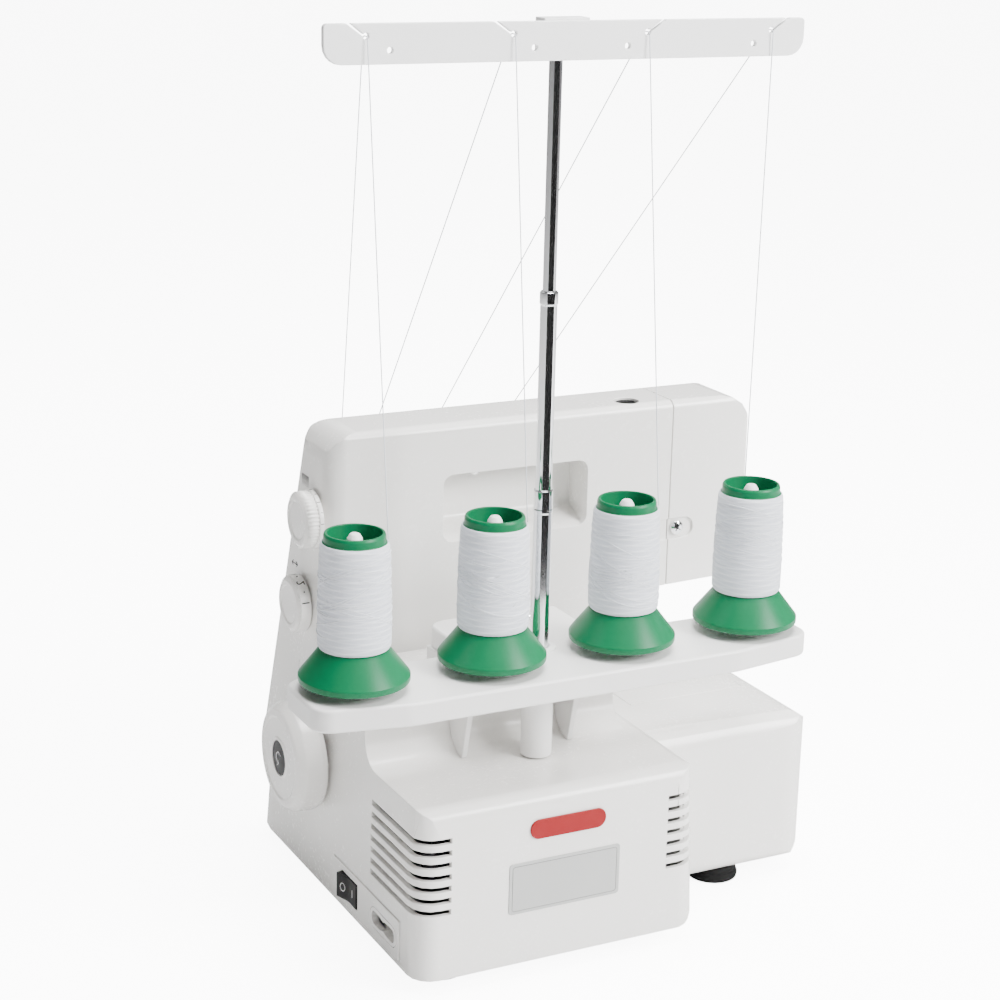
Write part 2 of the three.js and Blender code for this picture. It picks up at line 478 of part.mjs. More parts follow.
add("pressure_screw", cut(join(rodZ(presserX, presserY + 0.5, topZ - 7, topZ - 1, 6, 24),
  rodZ(presserX, presserY + 0.5, 251.5, topZ - 6, 2.4, 16)),
box(presserX - 8, presserX + 8, presserY - 0.3, presserY + 1.3, topZ - 2.6, topZ + 2)), black);
const liftX = -72, liftZ = 162, liftY = -24.6;
add("presser_lifter", cut(join(rodY(liftX, liftY - 1.6, liftY + 1.6, liftZ, 5, 20),
  prismY([[liftX - 3, liftZ - 2], [liftX + 7, liftZ - 36, 3.5], [liftX + 14, liftZ - 34, 3.5], [liftX + 4,
    liftZ + 1]],
    liftY - 1.6, liftY + 1.6, 3)), rodY(liftX, liftY - 5, liftY + 5, liftZ, 1.8, 14)), steel);

// Feed, knives and loopers
function dog(name, [y0, y1], ...bars) {
  const parts = dogX.map((x) => {
    const teeth = [[y0, bedZ - 8], [y1, bedZ - 8], [y1, bedZ - 0.4]], count = Math.round((y1 - y0) / 3);
    for (let i = count; i > 0; i--) {
      teeth.push([y0 + ((i - 0.5) * (y1 - y0)) / count, bedZ + 0.4], [y0 + ((i - 1) * (y1 - y0)) / count,
        bedZ - 0.4]);
    }
    return prismX(teeth, x - 1.3, x + 1.3);
  });
  add(name, join(...parts, box(dogX[0] - 1.3, dogX[1] + 1.3, y0, y1, dogLow, bedZ - 6), ...bars), steel);
}
const dogLow = bedZ - 12, dogMid = bedZ - 7;
dog("feed_dog_front", dogFront, box(-106, -102.5, dogFront[0], 16, dogLow, dogMid),
  box(-106, dogX[0], dogFront[0], dogFront[0] + 5, dogLow, dogMid));
dog("feed_dog_rear", dogRear, box(-97, -93, dogRear[1] - 3, 16, dogLow, dogMid));
const postX = knifeX - 5, postY = -66, holderZ = 62;
add("upper_knife", join(prismX([[knifeY0, bedZ - 4], [knifeY1, bedZ - 1], [knifeY1, bedZ + 22, 1],
  [knifeY0, bedZ + 22, 1]],
  knifeX - 0.9, knifeX + 0.9, 2), box(knifeX - 0.9, knifeX + 0.9, -70, -62, holderZ, bedZ),
cut(box(postX - 4, knifeX, -71, -61, holderZ, holderZ + 9), rodZ(postX, postY, holderZ - 5, holderZ + 15,
  2.3, 12))), steel);
const looperShape = (reach, rise) => [[-3.4, -6, 2], [3.4, -6, 2], [3.6, rise - 8, 5], [-reach, rise, 0.6],
  [-reach + 1, rise - 2.4],
  [-3.4, rise - 13, 4]];
const looperHole = (y, z) => rodY(0, y - 5, y + 5, z, 2.3, 14);
function looper(name, x, y, z, reach, rise) {
  const arm = cut(join(prismY(looperShape(reach, rise), -1.2, 1.2, 3), rodY(0, -3, 3, 0, 5, 20)),
    looperHole(0, 0));
  add(name, arm, steel, [x, y, z]);
}
looper("upper_looper", -70, -44.5, 60, 16, 32);
looper("lower_looper", -74, -54.5, 52, 12, 30);

// Drive inside the base
const shaftBody = join(rodX(-60, wheelOut - 2, shaftY, shaftZ, shaftR, 16),
  rodX(-46, -38, shaftY + 3, shaftZ, 11, 16), rodX(10, 18, shaftY, shaftZ + 3, 11, 16),
  turnX([[0, pulleyX - 5], [pulleyR + 2, pulleyX - 5], [pulleyR - 0.5, pulleyX - 3.8],
    [pulleyR - 0.5, pulleyX + 3.8], [pulleyR + 2, pulleyX + 5], [0, pulleyX + 5]], shaftY, shaftZ, 28));
add("main_shaft", shaftBody, steel);
add("motor_pulley", join(turnX([[0, pulleyX - 5], [motorPulleyR + 2, pulleyX - 5], [motorPulleyR - 0.5,
  pulleyX - 3.8],
  [motorPulleyR - 0.5, pulleyX + 3.8], [motorPulleyR + 2, pulleyX + 5], [0, pulleyX + 5]], motorY, motorZ,
    20),
rodX(pulleyX - 22, pulleyX, motorY, motorZ, 3.6, 16)), steel);
function beltLoop(grow) {
  const c = [shaftY, shaftZ, pulleyR + grow], m = [motorY, motorZ, motorPulleyR + grow];
  const way = Math.atan2(m[1] - c[1], m[0] - c[0]), far = Math.hypot(m[0] - c[0], m[1] - c[1]);
  const lean = Math.acos((c[2] - m[2]) / far), points = [];
  const arc = ([y, z, r], from, to, count) => {
    for (let i = 0; i <= count; i++) {
      const t = from + ((to - from) * i) / count;
      points.push([y + r * Math.cos(t), z + r * Math.sin(t)]);
    }
  };
  arc(c, way + lean, way + 2 * Math.PI - lean, 22);
  arc(m, way - lean, way + lean, 8);
  return points;
}
add("belt", cut(prismX(beltLoop(1.9), pulleyX - 3.2, pulleyX + 3.2), prismX(beltLoop(0.2), pulleyX - 9,
  pulleyX + 9)),
  beltBlack);
add("motor", cut(join(turnX([[0, -34], [22, -34], [28, -31], [28, 52], [22, 58], [9, 58], [9, 66], [0,
  66]], motorY, motorZ, 24)),
  rodX(56, 70, motorY, motorZ, 4.2, 20)), alloy);
const floorTop = bottomZ + 3.4;
const webs = [[-56, -49], [22, 29], [62, 69]].map(([x0, x1]) => box(x0, x1, shaftY - 13, shaftY + 13,
  floorTop + 2, shaftZ + 10));
const cradle = [-20, 40].map((x) => cut(box(x - 5, x + 5, motorY - 22, motorY + 22, floorTop + 2,
  motorZ - 12),
  rodX(x - 9, x + 9, motorY, motorZ, 28.6, 24)));
const frameBody = cut(join(box(-120, 96, -88, 52, floorTop, floorTop + 5), box(-30, 60, 40, 104, floorTop,
  floorTop + 5),
  ...webs, ...cradle, box(42, 58, -59, -46, floorTop + 2, 256), box(-104, 58, -59, -46, 252, 260),
  box(-104, -68, -59, -22.6, 246, 258), box(-78, -66, -62, -34, floorTop + 2, 44),
  box(-84, -64, -40, -37, 40, 66), rodY(-70, -50, -38, 60, 2, 14),
  box(-80, -68, -50.5, -49, 40, 56), rodY(-74, -60, -50, 52, 2, 14),
  rodZ(postX, postY, floorTop + 2, holderZ + 14, 2, 12), box(-108, -90, 6, 14, floorTop + 2, bedZ - 12.3),
  box(needleX - 7, needleX + 7, needleY - 6.5, needleY + 6, 222, 250),
  box(presserX - 7, presserX + 7, presserY - 6, presserY + 7, 222, 250),
  box(-74, -70, -36, liftY - 2, 158, 248), rodY(liftX, liftY + 2.2, liftY - 4, liftZ, 1.5, 14)),
rodX(-70, 90, shaftY, shaftZ, shaftR + gap, 16),
rodZ(needleX, needleY, 215, 265, barR + gap, 20), rodZ(presserX, presserY, 215, 265, presserR + gap, 20));
add("inner_frame", frameBody, alloy);
add("lamp_bulb", turnZ([[0, 170], [4, 171.5], [6.5, 176], [6.5, 184], [4.5, 190], [4.5, 195.6], [0,
  195.6]], -142, -48, 14), glass);
add("cover_screw", cut(turnY([[0, armRear - 9], [2, armRear - 9], [2, armRear - 1.5], [4.2, armRear - 1.3],
  [4.2, armRear + 0.6],
  [3.6, armRear + 1.2], [0, armRear + 1.2]], coverScrew[0], coverScrew[1], 16),
box(coverScrew[0] - 6, coverScrew[0] + 6, armRear + 0.2, armRear + 3, coverScrew[1] - 0.5,
  coverScrew[1] + 0.5)), chrome);

// Thread stand
const plateFront = 62.5, plateRear = 119, plateLeft = -127, plateRight = 165.6, tabX0 = -19, tabX1 = 60,
  tabFront = 11;
const bevelX = 97, bevelY = 8.5; // the rear edge bends forward this far out from the pole
const plateCorners = [[plateLeft, plateFront, 12], [tabX0, plateFront, 3], [tabX0, tabFront, 6], [tabX1,
  tabFront, 10],
  [tabX1, plateFront, 3], [plateRight, plateFront, 12], [plateRight, plateRear - bevelY, 12],
  [poleX + bevelX, plateRear, 30], [poleX - bevelX, plateRear, 30], [plateLeft, plateRear - bevelY, 12]];
const underZ = plateZ - plateT;
const curlR = 16; // inside curve between the shoulder wall and the motor bulge
const ribCurl = [0, 1, 2, 3, 4, 5].map((k) => {
  const t = Math.PI * (1 + k / 10);
  return [wallRear + 1 + curlR + (curlR - gap) * Math.cos(t), bulgeZ + curlR + (curlR - gap) * Math.sin(t)];
});
const ribs = [poleX - 26.5, poleX + 38].map((x) => prismX([[tabFront + 4, shoulderZ + gap],
  [wallRear + gap, shoulderZ + gap, 7.6], ...ribCurl, [73, underZ + 2], [tabFront + 4, underZ + 2]],
    x - 1.6, x + 1.6, 4));
const boss = rodZ(poleX, poleY, bulgeZ + 1, underZ + 1, 8.5, 28);
const spoolX = [1.5, 0.5, -0.5, -1.5].map((k) => spoolRowX + k * spoolPitch);
const pinR = 4.4;
const pinProfile = [[0, plateZ - 1], [17, plateZ - 1], [17, plateZ + 3.6], [12, plateZ + 4.4], [pinR,
  plateZ + 4.6],
  [pinR - 0.4, coreTopZ - 3], [3.1, coreTopZ - 1], [0, coreTopZ - 0.3]];
const pins = spoolX.map((x) => turnZ(pinProfile, x, spoolY, 14));
const screws = screwX.map((x) => turnZ([[0, shoulderZ - 2.5], [2.2, shoulderZ - 2.5], [2.2, plateZ - 1],
  [4.2, plateZ - 1],
  [4.2, plateZ + 2], [3.2, plateZ + 2.6], [0, plateZ + 2.6]], x, screwY, 12));
const stand = cut(join(prismZ(plateCorners, underZ, plateZ, 5), boss, ...ribs, ...pins, ...screws),
  rodZ(poleX, poleY, bulgeZ + 3, plateZ + 5, lowR + gap, 24));
add("spool_plate", stand, plateWhite);
const lap = 14, tubeT = 0.4;
add("pole_lower", turnZ([[lowR - tubeT, bulgeZ + 4], [lowR, bulgeZ + 4], [lowR, lowTopZ], [lowR - tubeT,
  lowTopZ]],
  poleX, poleY, 16, true), chrome);
add("pole_middle", turnZ([[midR - tubeT, lowTopZ - lap], [midR, lowTopZ - lap], [midR, midTopZ - 4],
  [midR + 0.4, midTopZ - 3],
  [midR + 0.4, midTopZ - 0.6], [midR, midTopZ], [midR - tubeT, midTopZ]], poleX, poleY, 16, true), chrome);
const plateBarY = poleY + 4.6, barT = 3;
add("pole_upper", turnZ([[0, midTopZ - lap], [topR - 0.3, midTopZ - lap], [topR - 0.3, barZ + 12], [0,
  barZ + 12]],
  poleX, poleY, 16), chrome);
const barLeft = -120.1, barRight = 148.8;
const eyeX = [127.1, 49, -26.2, -99.9], eyeZ = barZ + 13.3, hookZ = barZ + 6.6, slotDx = [11.8, 12.7,
  -12.5, -12.7];
const eyes = eyeX.flatMap((x, i) => [rodY(x, plateBarY - 5, plateBarY + 9, eyeZ, 1.6, 14),
  prismY([[x - 0.7, eyeZ - 0.6], [x + 0.7, eyeZ - 0.6], [x + slotDx[i] + 1.2, barTopZ + 2],
    [x + slotDx[i] - 1.2, barTopZ + 2]],
    plateBarY - 5, plateBarY + 9, 2),
  rodY([114.6, 37.5, -14.9, -89.3][i], plateBarY - 5, plateBarY + 9, hookZ, 1.6, 14)]);
const clip = cut(join(box(poleX - 16.4, poleX + 9, poleY - 6, plateBarY - 0.4, barZ + 4, barTopZ + 1.2),
  box(poleX - 16.4, poleX + 9, plateBarY - 1, plateBarY + 1, barZ + 6, barTopZ - 3)),
rodZ(poleX, poleY, barZ - 5, barZ + 12.3, topR, 24));
add("guide_bar", join(cut(prismY([[barLeft, barZ, 10], [barRight, barZ, 10], [barRight, barTopZ, 2.2],
  [barLeft, barTopZ, 2.2]],
  plateBarY, plateBarY + barT, 5), ...eyes), clip), barWhite);

// Spools
const flangeLow = plateZ + 4.9, flangeHigh = plateZ + 8.4;
const coreProfile = [[flangeR - 2, flangeLow], [flangeR, flangeLow], [flangeR, flangeHigh], [coreR + 2,
  threadLowZ - 0.5],
  [coreR, threadLowZ - 0.3], [coreR, threadHighZ], [coreR - 0.2, threadHighZ + 0.4], [coreR - 0.5,
    coreTopZ - 0.4],
  [coreR - 0.8, coreTopZ], [coreR - 2, coreTopZ], [coreR - 2.2, coreTopZ - 14], [pinR + 0.6,
    coreTopZ - 14.5],
  [pinR + 0.6, coreTopZ - 16.5], [coreR - 1.6, coreTopZ - 17], [coreR - 1.6, threadLowZ - 2],
    [flangeR - 2.6, flangeHigh - 1]];
const windProfile = [[coreR + gap, threadLowZ + 0.2], [threadR - 0.4, threadLowZ + 0.2], [threadR + 0.3,
  threadLowZ + 1.6],
  [threadR - 0.9, threadHighZ - 2.4], [threadR - 1.8, threadHighZ - 0.2], [coreR + gap, threadHighZ - 0.2]];
spoolX.forEach((x, i) => {
  add(`spool_core_${i + 1}`, turnZ(coreProfile, 0, 0, 22, true), green, [x, spoolY, 0]);
  add(`thread_cone_${i + 1}`, turnZ(windProfile, 0, 0, 22, true), thread, [x, spoolY, 0]);
});

// ---- Threads, from each cone up to its eye and down to the front guide ----
const yarnR = 0.35;
function strand(a, b) {
  const from = new THREE.Vector3(...a), to = new THREE.Vector3(...b), way = to.clone().sub(from);
  const g = new THREE.CylinderGeometry(yarnR, yarnR, way.length(), 5, 1);
  g.applyQuaternion(new THREE.Quaternion().setFromUnitVectors(new THREE.Vector3(0, 1, 0), way.normalize()));
  g.translate(...from.add(to).multiplyScalar(0.5).toArray());
  return solid(g);
}
const knot = ([x, y, z]) => solid(new THREE.IcosahedronGeometry(yarnR + 0.15, 0).translate(x, y, z));
const offX = [-14.8, -14.8, -14.8, -6], offY = [7.6, 7.6, 7.6, -15.5];
spoolX.forEach((x, i) => {
  const start = [x + offX[i], spoolY + offY[i], threadHighZ + 1.2];
  const end = [guideX[i], guideY, guideZ + 1.2], back = [eyeX[i], plateBarY + barT + 1.5, eyeZ];
  const front = [eyeX[i], plateBarY - 0.8, eyeZ];
  add(`thread_${i + 1}`, join(strand(start, back), strand(back, front), strand(front, end), knot(back),
    knot(front)), thread);
});

export default root;
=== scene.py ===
import json
import math
import random
import bmesh
import bpy
from mathutils import Matrix, Vector


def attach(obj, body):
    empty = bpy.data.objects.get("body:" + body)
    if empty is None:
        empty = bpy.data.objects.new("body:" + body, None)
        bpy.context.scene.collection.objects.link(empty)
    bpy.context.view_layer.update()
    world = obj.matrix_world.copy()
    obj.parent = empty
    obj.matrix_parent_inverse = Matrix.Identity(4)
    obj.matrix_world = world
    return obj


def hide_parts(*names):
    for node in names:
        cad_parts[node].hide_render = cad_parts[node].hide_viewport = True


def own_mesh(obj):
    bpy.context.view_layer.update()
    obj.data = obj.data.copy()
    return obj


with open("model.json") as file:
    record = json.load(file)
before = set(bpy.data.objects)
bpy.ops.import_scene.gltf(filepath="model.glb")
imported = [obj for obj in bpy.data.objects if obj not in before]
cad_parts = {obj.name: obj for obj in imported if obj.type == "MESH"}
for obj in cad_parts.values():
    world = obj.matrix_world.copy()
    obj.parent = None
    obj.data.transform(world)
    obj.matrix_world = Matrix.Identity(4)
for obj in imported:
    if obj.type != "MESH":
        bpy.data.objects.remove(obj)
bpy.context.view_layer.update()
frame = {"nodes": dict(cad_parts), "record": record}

# Overlock machine with its thread stand. The dictionaries hold millimetres and degrees.
mm = 0.001
scene = bpy.context.scene
chance = random.Random(11)

cameraLook = {"spot": (545.03, 1040.44, 569.10), "turn": 27.204, "tilt": 16.288, "roll": 1.342, "lens": 78.86}


def placeCamera(look):
    turn, tilt, roll = (math.radians(look[k]) for k in ("turn", "tilt", "roll"))
    back = Vector((math.sin(turn) * math.cos(tilt), math.cos(turn) * math.cos(tilt), math.sin(tilt)))
    right = (-back).cross(Vector((0, 0, 1))).normalized()
    up = back.cross(right)
    across = right * math.cos(roll) + up * math.sin(roll)
    over = up * math.cos(roll) - right * math.sin(roll)
    data = bpy.data.cameras.new("mainCamera")
    data.lens, data.sensor_width, data.clip_start, data.clip_end = look["lens"], 36, 0.01, 50
    camera = bpy.data.objects.new("mainCamera", data)
    place = Matrix((across, over, back)).transposed().to_4x4()
    place.translation = Vector(look["spot"]) * mm
    camera.matrix_world = place
    scene.collection.objects.link(camera)
    scene.camera = camera


placeCamera(cameraLook)
print("camera placed")


class Wire:  # one socket that can be added, multiplied and so on
    def __init__(self, paint, socket):
        self.paint, self.socket = paint, socket

    def op(self, kind, a, b):
        return self.paint.node("ShaderNodeMath", {"operation": kind}, {0: a, 1: b})

    def __add__(self, other):
        return self.op("ADD", self, other)

    def __radd__(self, other):
        return self.op("ADD", other, self)

    def __sub__(self, other):
        return self.op("SUBTRACT", self, other)

    def __rsub__(self, other):
        return self.op("SUBTRACT", other, self)

    def __mul__(self, other):
        return self.op("MULTIPLY", self, other)

    def __rmul__(self, other):
        return self.op("MULTIPLY", other, self)

    def __truediv__(self, other):
        return self.op("DIVIDE", self, other)

    def __rtruediv__(self, other):
        return self.op("DIVIDE", other, self)

    def __pow__(self, other):
        return self.op("POWER", self, other)

    def __rpow__(self, other):
        return self.op("POWER", other, self)


class Paint:  # one material and what feeds its shader
    def __init__(self, name, fixed):
        self.material = bpy.data.materials.new(name)
        self.material.use_nodes = True
        self.tree = self.material.node_tree
        self.shader = self.tree.nodes["Principled BSDF"]
        for socket, value in fixed.items():
            self.shader.inputs[socket].default_value = value

    def node(self, kind, settings=None, feeds=None, out=0):
        made = self.tree.nodes.new(kind)
        for key, value in (settings or {}).items():
            setattr(made, key, value)
        for key, value in (feeds or {}).items():
            if isinstance(value, Wire):
                self.tree.links.new(value.socket, made.inputs[key])
            else:
                made.inputs[key].default_value = value
        return Wire(self, made.outputs[out])

    def place(self):
        return self.node("ShaderNodeTexCoord", out="Object")

    def axes(self, place):
        return [self.node("ShaderNodeSeparateXYZ", None, {0: place}, out=k) for k in "XYZ"]

    def noise(self, place, size, detail=2.0, rough=0.5):
        feeds = {"Vector": place, "Scale": 1 / (size * mm), "Detail": detail, "Roughness": rough}
        return self.node("ShaderNodeTexNoise", None, feeds)

    def shade(self, share, low, high):
        feeds = {0: share, 6: (*low, 1), 7: (*high, 1)}
        return self.node("ShaderNodeMix", {"data_type": "RGBA"}, feeds, out=2)

    def feed(self, socket, wire):
        self.tree.links.new(wire.socket, self.shader.inputs[socket])

    def bump(self, height, strength, distance):
        feeds = {"Height": height, "Strength": strength, "Distance": distance * mm}
        self.feed("Normal", self.node("ShaderNodeBump", None, feeds))


def moulded(name, low, high, rough, grain=2.2, depth=0.02, coat=0.0, shine=0.5):
    swing = 0.08
    paint = Paint(name, {"Coat Weight": coat, "Coat Roughness": 0.12, "Specular IOR Level": shine})
    place = paint.place()
    broad = paint.noise(place, 38.0, 3.0)
    fine = paint.noise(place, grain, 2.0)
    paint.feed("Base Color", paint.shade(broad * 0.7 + fine * 0.3, low, high))
    paint.feed("Roughness", fine * swing + (rough - swing / 2) + broad * 0.04)
    paint.bump(fine, 0.25, depth)
    return paint.material


def metal(name, tone, rough, grainSize, depth=0.01, strength=0.2, swing=0.1):
    paint = Paint(name, {"Metallic": 1.0})
    place = paint.place()
    scales = tuple(1 / g for g in grainSize)
    stretched = paint.node("ShaderNodeMapping", None, {"Vector": place, "Scale": scales})
    grain = paint.node("ShaderNodeTexNoise", None, {"Vector": stretched, "Scale": 1 / mm, "Detail": 2.0})
    smear = paint.noise(place, 14.0, 2.0)
    paint.feed("Base Color", paint.shade(smear, tuple(c * 0.93 for c in tone), tone))
    paint.feed("Roughness", grain * swing + (rough - swing / 2) + smear * 0.04)
    paint.bump(grain, strength, depth)
    return paint.material


def woundThread(name, centre, look):
    paint = Paint(name, {"Sheen Weight": 0.25, "Sheen Roughness": 0.5, "Specular IOR Level": 0.3})
    x, y, z = paint.axes(paint.place())
    across, along = x - centre[0] * mm, y - centre[1] * mm
    angle = paint.node("ShaderNodeMath", {"operation": "ARCTAN2"}, {0: along, 1: across})
    height = z / mm

    def lay(pitch, slant):  # ridges of one layer, slanting so many mm in a turn
        phase = (height + angle * (slant / (2 * math.pi))) * (2 * math.pi / pitch)
        return paint.node("ShaderNodeMath", {"operation": "SINE"}, {0: phase}) * 0.5 + 0.5

    flat = lay(look["pitch"], look["pitch"])
    up, down = look["crossPitch"], look["crossPitch"] * 1.27
    rising = lay(up, up * look["crossTurns"]) ** look["crossSharp"]
    falling = lay(down, -down * look["crossTurns"]) ** look["crossSharp"]
    lint = paint.noise(paint.place(), 0.8, 3.0)
    blotch = paint.noise(paint.place(), 9.0, 2.0)
    # the ridge height also sets the base colour: the grooves between turns take the darker colour as painted
    # shade, the ridges and crossing turns the lighter one
    ridgeAndShade = flat * 0.5 + rising * 0.5 + falling * 0.5 + lint * 0.3
    paint.feed("Base Color", paint.shade(ridgeAndShade * 0.55 + blotch * 0.25, look["low"], look["high"]))
    paint.feed("Roughness", lint * 0.15 + 0.7)
    paint.bump(ridgeAndShade, look["strength"], look["depth"])
    return paint.material


finishes = {
    "shell": moulded("shellPlastic", (0.835, 0.818, 0.788), (0.880, 0.866, 0.840), 0.24, coat=0.25),
    "stand": moulded("standPlastic", (0.80, 0.79, 0.775), (0.86, 0.85, 0.835), 0.34, grain=1.4, coat=0.15),
    "bar": moulded("barPlastic", (0.90, 0.90, 0.895), (0.94, 0.94, 0.935), 0.38, grain=1.2),
    "core": moulded("greenPlastic", (0.0, 0.118, 0.043), (0.0, 0.150, 0.056), 0.34, grain=1.8, shine=0.25),
    "black": moulded("blackPlastic", (0.0015, 0.0015, 0.0018), (0.003, 0.003, 0.0034), 0.42, grain=0.8,
                     shine=0.2),
    "rubber": moulded("footRubber", (0.003, 0.003, 0.003), (0.007, 0.007, 0.007), 0.8, grain=0.6,
                      depth=0.06, shine=0.2),
    "badge": moulded("badgeRed", (0.23, 0.0005, 0.002), (0.28, 0.0008, 0.003), 0.38, grain=1.5, shine=0.3),
    "label": moulded("labelFoil", (0.42, 0.425, 0.415), (0.47, 0.475, 0.465), 0.42, grain=0.9),
    "labelLine": moulded("labelLine", (0.16, 0.16, 0.155), (0.20, 0.20, 0.195), 0.5, grain=0.9),
    "print": moulded("printGrey", (0.018, 0.018, 0.018), (0.035, 0.035, 0.035), 0.5, grain=0.6, shine=0.2),
    "printWhite": moulded("printWhite", (0.75, 0.75, 0.75), (0.85, 0.85, 0.85), 0.45, grain=0.6),
    "chrome": metal("chromePlate", (0.86, 0.87, 0.88), 0.07, (1.0, 1.0, 30.0), 0.002, 0.05, 0.03),
    "steel": metal("groundSteel", (0.55, 0.56, 0.57), 0.30, (8.0, 0.3, 0.3)),
    "alloy": metal("castAlloy", (0.42, 0.43, 0.44), 0.48, (0.9, 0.9, 0.9), 0.08, 0.4),
    "base": metal("paintedSheet", (0.36, 0.36, 0.35), 0.5, (0.6, 0.6, 0.6), 0.03),
    "belt": moulded("beltRubber", (0.014, 0.014, 0.014), (0.03, 0.03, 0.03), 0.8, grain=0.5, depth=0.08),
    "lamp": moulded("lampGlass", (0.85, 0.80, 0.66), (0.95, 0.90, 0.78), 0.12, grain=3.0),
    "thread": moulded("strandThread", (0.70, 0.72, 0.76), (0.82, 0.84, 0.88), 0.7, grain=0.3),
}
print("finishes ready:", len(finishes))


def lodge(name, mesh, body, finish, nodes=()):
    mesh.materials.clear()
    mesh.materials.append(finishes[finish] if isinstance(finish, str) else finish)
    piece = bpy.data.objects.new(name, mesh)
    scene.collection.objects.link(piece)
    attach(piece, body)
    if nodes:
        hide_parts(*nodes)
    return piece


def meshOf(form, name, smooth=True):
    bmesh.ops.recalc_face_normals(form, faces=form.faces)
    mesh = bpy.data.meshes.new(name)
    form.to_mesh(mesh)
    form.free()
    for face in mesh.polygons:
        face.use_smooth = smooth
    return mesh


def rounded(piece, width, steps=2, angle=32):
    bevel = piece.modifiers.new("edges", "BEVEL")
    bevel.width, bevel.segments, bevel.limit_method = width * mm, steps, "ANGLE"
    bevel.angle_limit, bevel.use_clamp_overlap, bevel.harden_normals = math.radians(angle), False, False
    even = piece.modifiers.new("even", "WEIGHTED_NORMAL")
    even.keep_sharp, even.weight = False, 60
    return piece


def softened(node, body, finish, width=0.35, steps=2):
    form = bmesh.new()
    form.from_mesh(frame["nodes"][node].data)
    bmesh.ops.remove_doubles(form, verts=form.verts, dist=2e-6)
    bmesh.ops.dissolve_limit(form, angle_limit=math.radians(0.8), verts=form.verts, edges=form.edges)
    bmesh.ops.dissolve_degenerate(form, dist=3e-5, edges=form.edges)
    piece = lodge(node + "Skin", meshOf(form, node + "Skin"), body, finish, [node])
    return rounded(piece, width, steps)


def smoothProfile(corners, steps=5):
    line = []  # a profile of [radius, height, fillet], its corners rounded
    for i, corner in enumerate(corners):
        here, fillet = Vector(corner[:2]), corner[2] if len(corner) > 2 else 0
        if not fillet or i in (0, len(corners) - 1):
            line.append(here)
            continue
        before, after = Vector(corners[i - 1][:2]) - here, Vector(corners[i + 1][:2]) - here
        half = before.angle(after) / 2
        reach = min(fillet / math.tan(half), before.length * 0.49, after.length * 0.49)
        a, b = here + before.normalized() * reach, here + after.normalized() * reach
        for k in range(steps + 1):
            t = k / steps
            line.append(a * (1 - t) ** 2 + here * 2 * t * (1 - t) + b * t ** 2)
    return line


def latheForm(profile, centre=(0, 0, 0), axis="Z", count=64):
    form, rings = bmesh.new(), []
    turns = {"Z": lambda r, h, t: (r * math.cos(t), r * math.sin(t), h),
             "X": lambda r, h, t: (h, r * math.cos(t), r * math.sin(t)),
             "Y": lambda r, h, t: (r * math.cos(t), h, -r * math.sin(t))}
    for radius, height in profile:
        angles = [0] if radius < 1e-6 else [2 * math.pi * k / count for k in range(count)]
        rings.append([form.verts.new((Vector(turns[axis](radius, height, t)) + Vector(centre)) * mm)
                      for t in angles])
    for low, high in zip(rings, rings[1:]):
        for k in range(count):
            n = k + 1
            ends = [low[k % len(low)], low[n % len(low)], high[n % len(high)], high[k % len(high)]]
            kept = [v for i, v in enumerate(ends) if v not in ends[:i]]
            if len(kept) > 2:
                form.faces.new(kept)
    return form


def closedLathe(profile, centre, axis="Z", count=64):
    return latheForm(list(profile) + [profile[0]], centre, axis, count)


def weld(form):
    bmesh.ops.remove_doubles(form, verts=form.verts, dist=1e-7)
    return form


def arcCorners(corners, steps=6):
    line = []  # a closed outline of [x, y, radius]
    for i, (x, y, *r) in enumerate(corners):
        here, fillet = Vector((x, y)), r[0] if r else 0
        if not fillet:
            line.append(here)
            continue
        before = Vector(corners[i - 1][:2]) - here
        after = Vector(corners[(i + 1) % len(corners)][:2]) - here
        half = before.angle(after) / 2
        reach = min(fillet / math.tan(half), before.length * 0.48, after.length * 0.48)
        radius = reach * math.tan(half)
        middle = here + (before.normalized() + after.normalized()).normalized() * radius / math.sin(half)
        start, end = here + before.normalized() * reach - middle, here + after.normalized() * reach - middle
        turn = math.atan2(start.x * end.y - start.y * end.x, start.dot(end))
        for k in range(steps + 1):
            t = turn * k / steps
            line.append(middle + Vector((start.x * math.cos(t) - start.y * math.sin(t),
                                         start.x * math.sin(t) + start.y * math.cos(t))))
    return line


def slabForm(outline, low, high, axis="Z"):
    form = bmesh.new()
    lift = {"Z": lambda a, b, h: (a, b, h), "X": lambda a, b, h: (h, a, b), "Y": lambda a, b, h: (a, h, b)}
    lift = lift[axis]
    below = [form.verts.new(Vector(lift(p[0], p[1], low)) * mm) for p in outline]
    above = [form.verts.new(Vector(lift(p[0], p[1], high)) * mm) for p in outline]
    form.faces.new(below)
    form.faces.new(above)
    for k in range(len(outline)):
        n = (k + 1) % len(outline)
        form.faces.new((below[k], below[n], above[n], above[k]))
    return form


def tubeForm(path, radius, count=10, form=None):
    form = form or bmesh.new()
    points = [Vector(p) for p in path]
    rings, side = [], None
    for i, p in enumerate(points):
        way = (points[min(i + 1, len(points) - 1)] - points[max(i - 1, 0)]).normalized()
        side = (way.orthogonal() if side is None else side - way * side.dot(way)).normalized()
        other = way.cross(side)
        rings.append([form.verts.new((p + (side * math.cos(t) + other * math.sin(t)) * radius) * mm)
                      for t in (2 * math.pi * k / count for k in range(count))])
    for low, high in zip(rings, rings[1:]):
        for k in range(count):
            n = (k + 1) % count
            form.faces.new((low[k], low[n], high[n], high[k]))
    form.faces.new(rings[0])
    form.faces.new(rings[-1])
    return form


def joinForms(*forms):
    whole = forms[0]
    for other in forms[1:]:
        loose = bpy.data.meshes.new("loose")
        other.to_mesh(loose)
        other.free()
        whole.from_mesh(loose)
        bpy.data.meshes.remove(loose)
    return whole


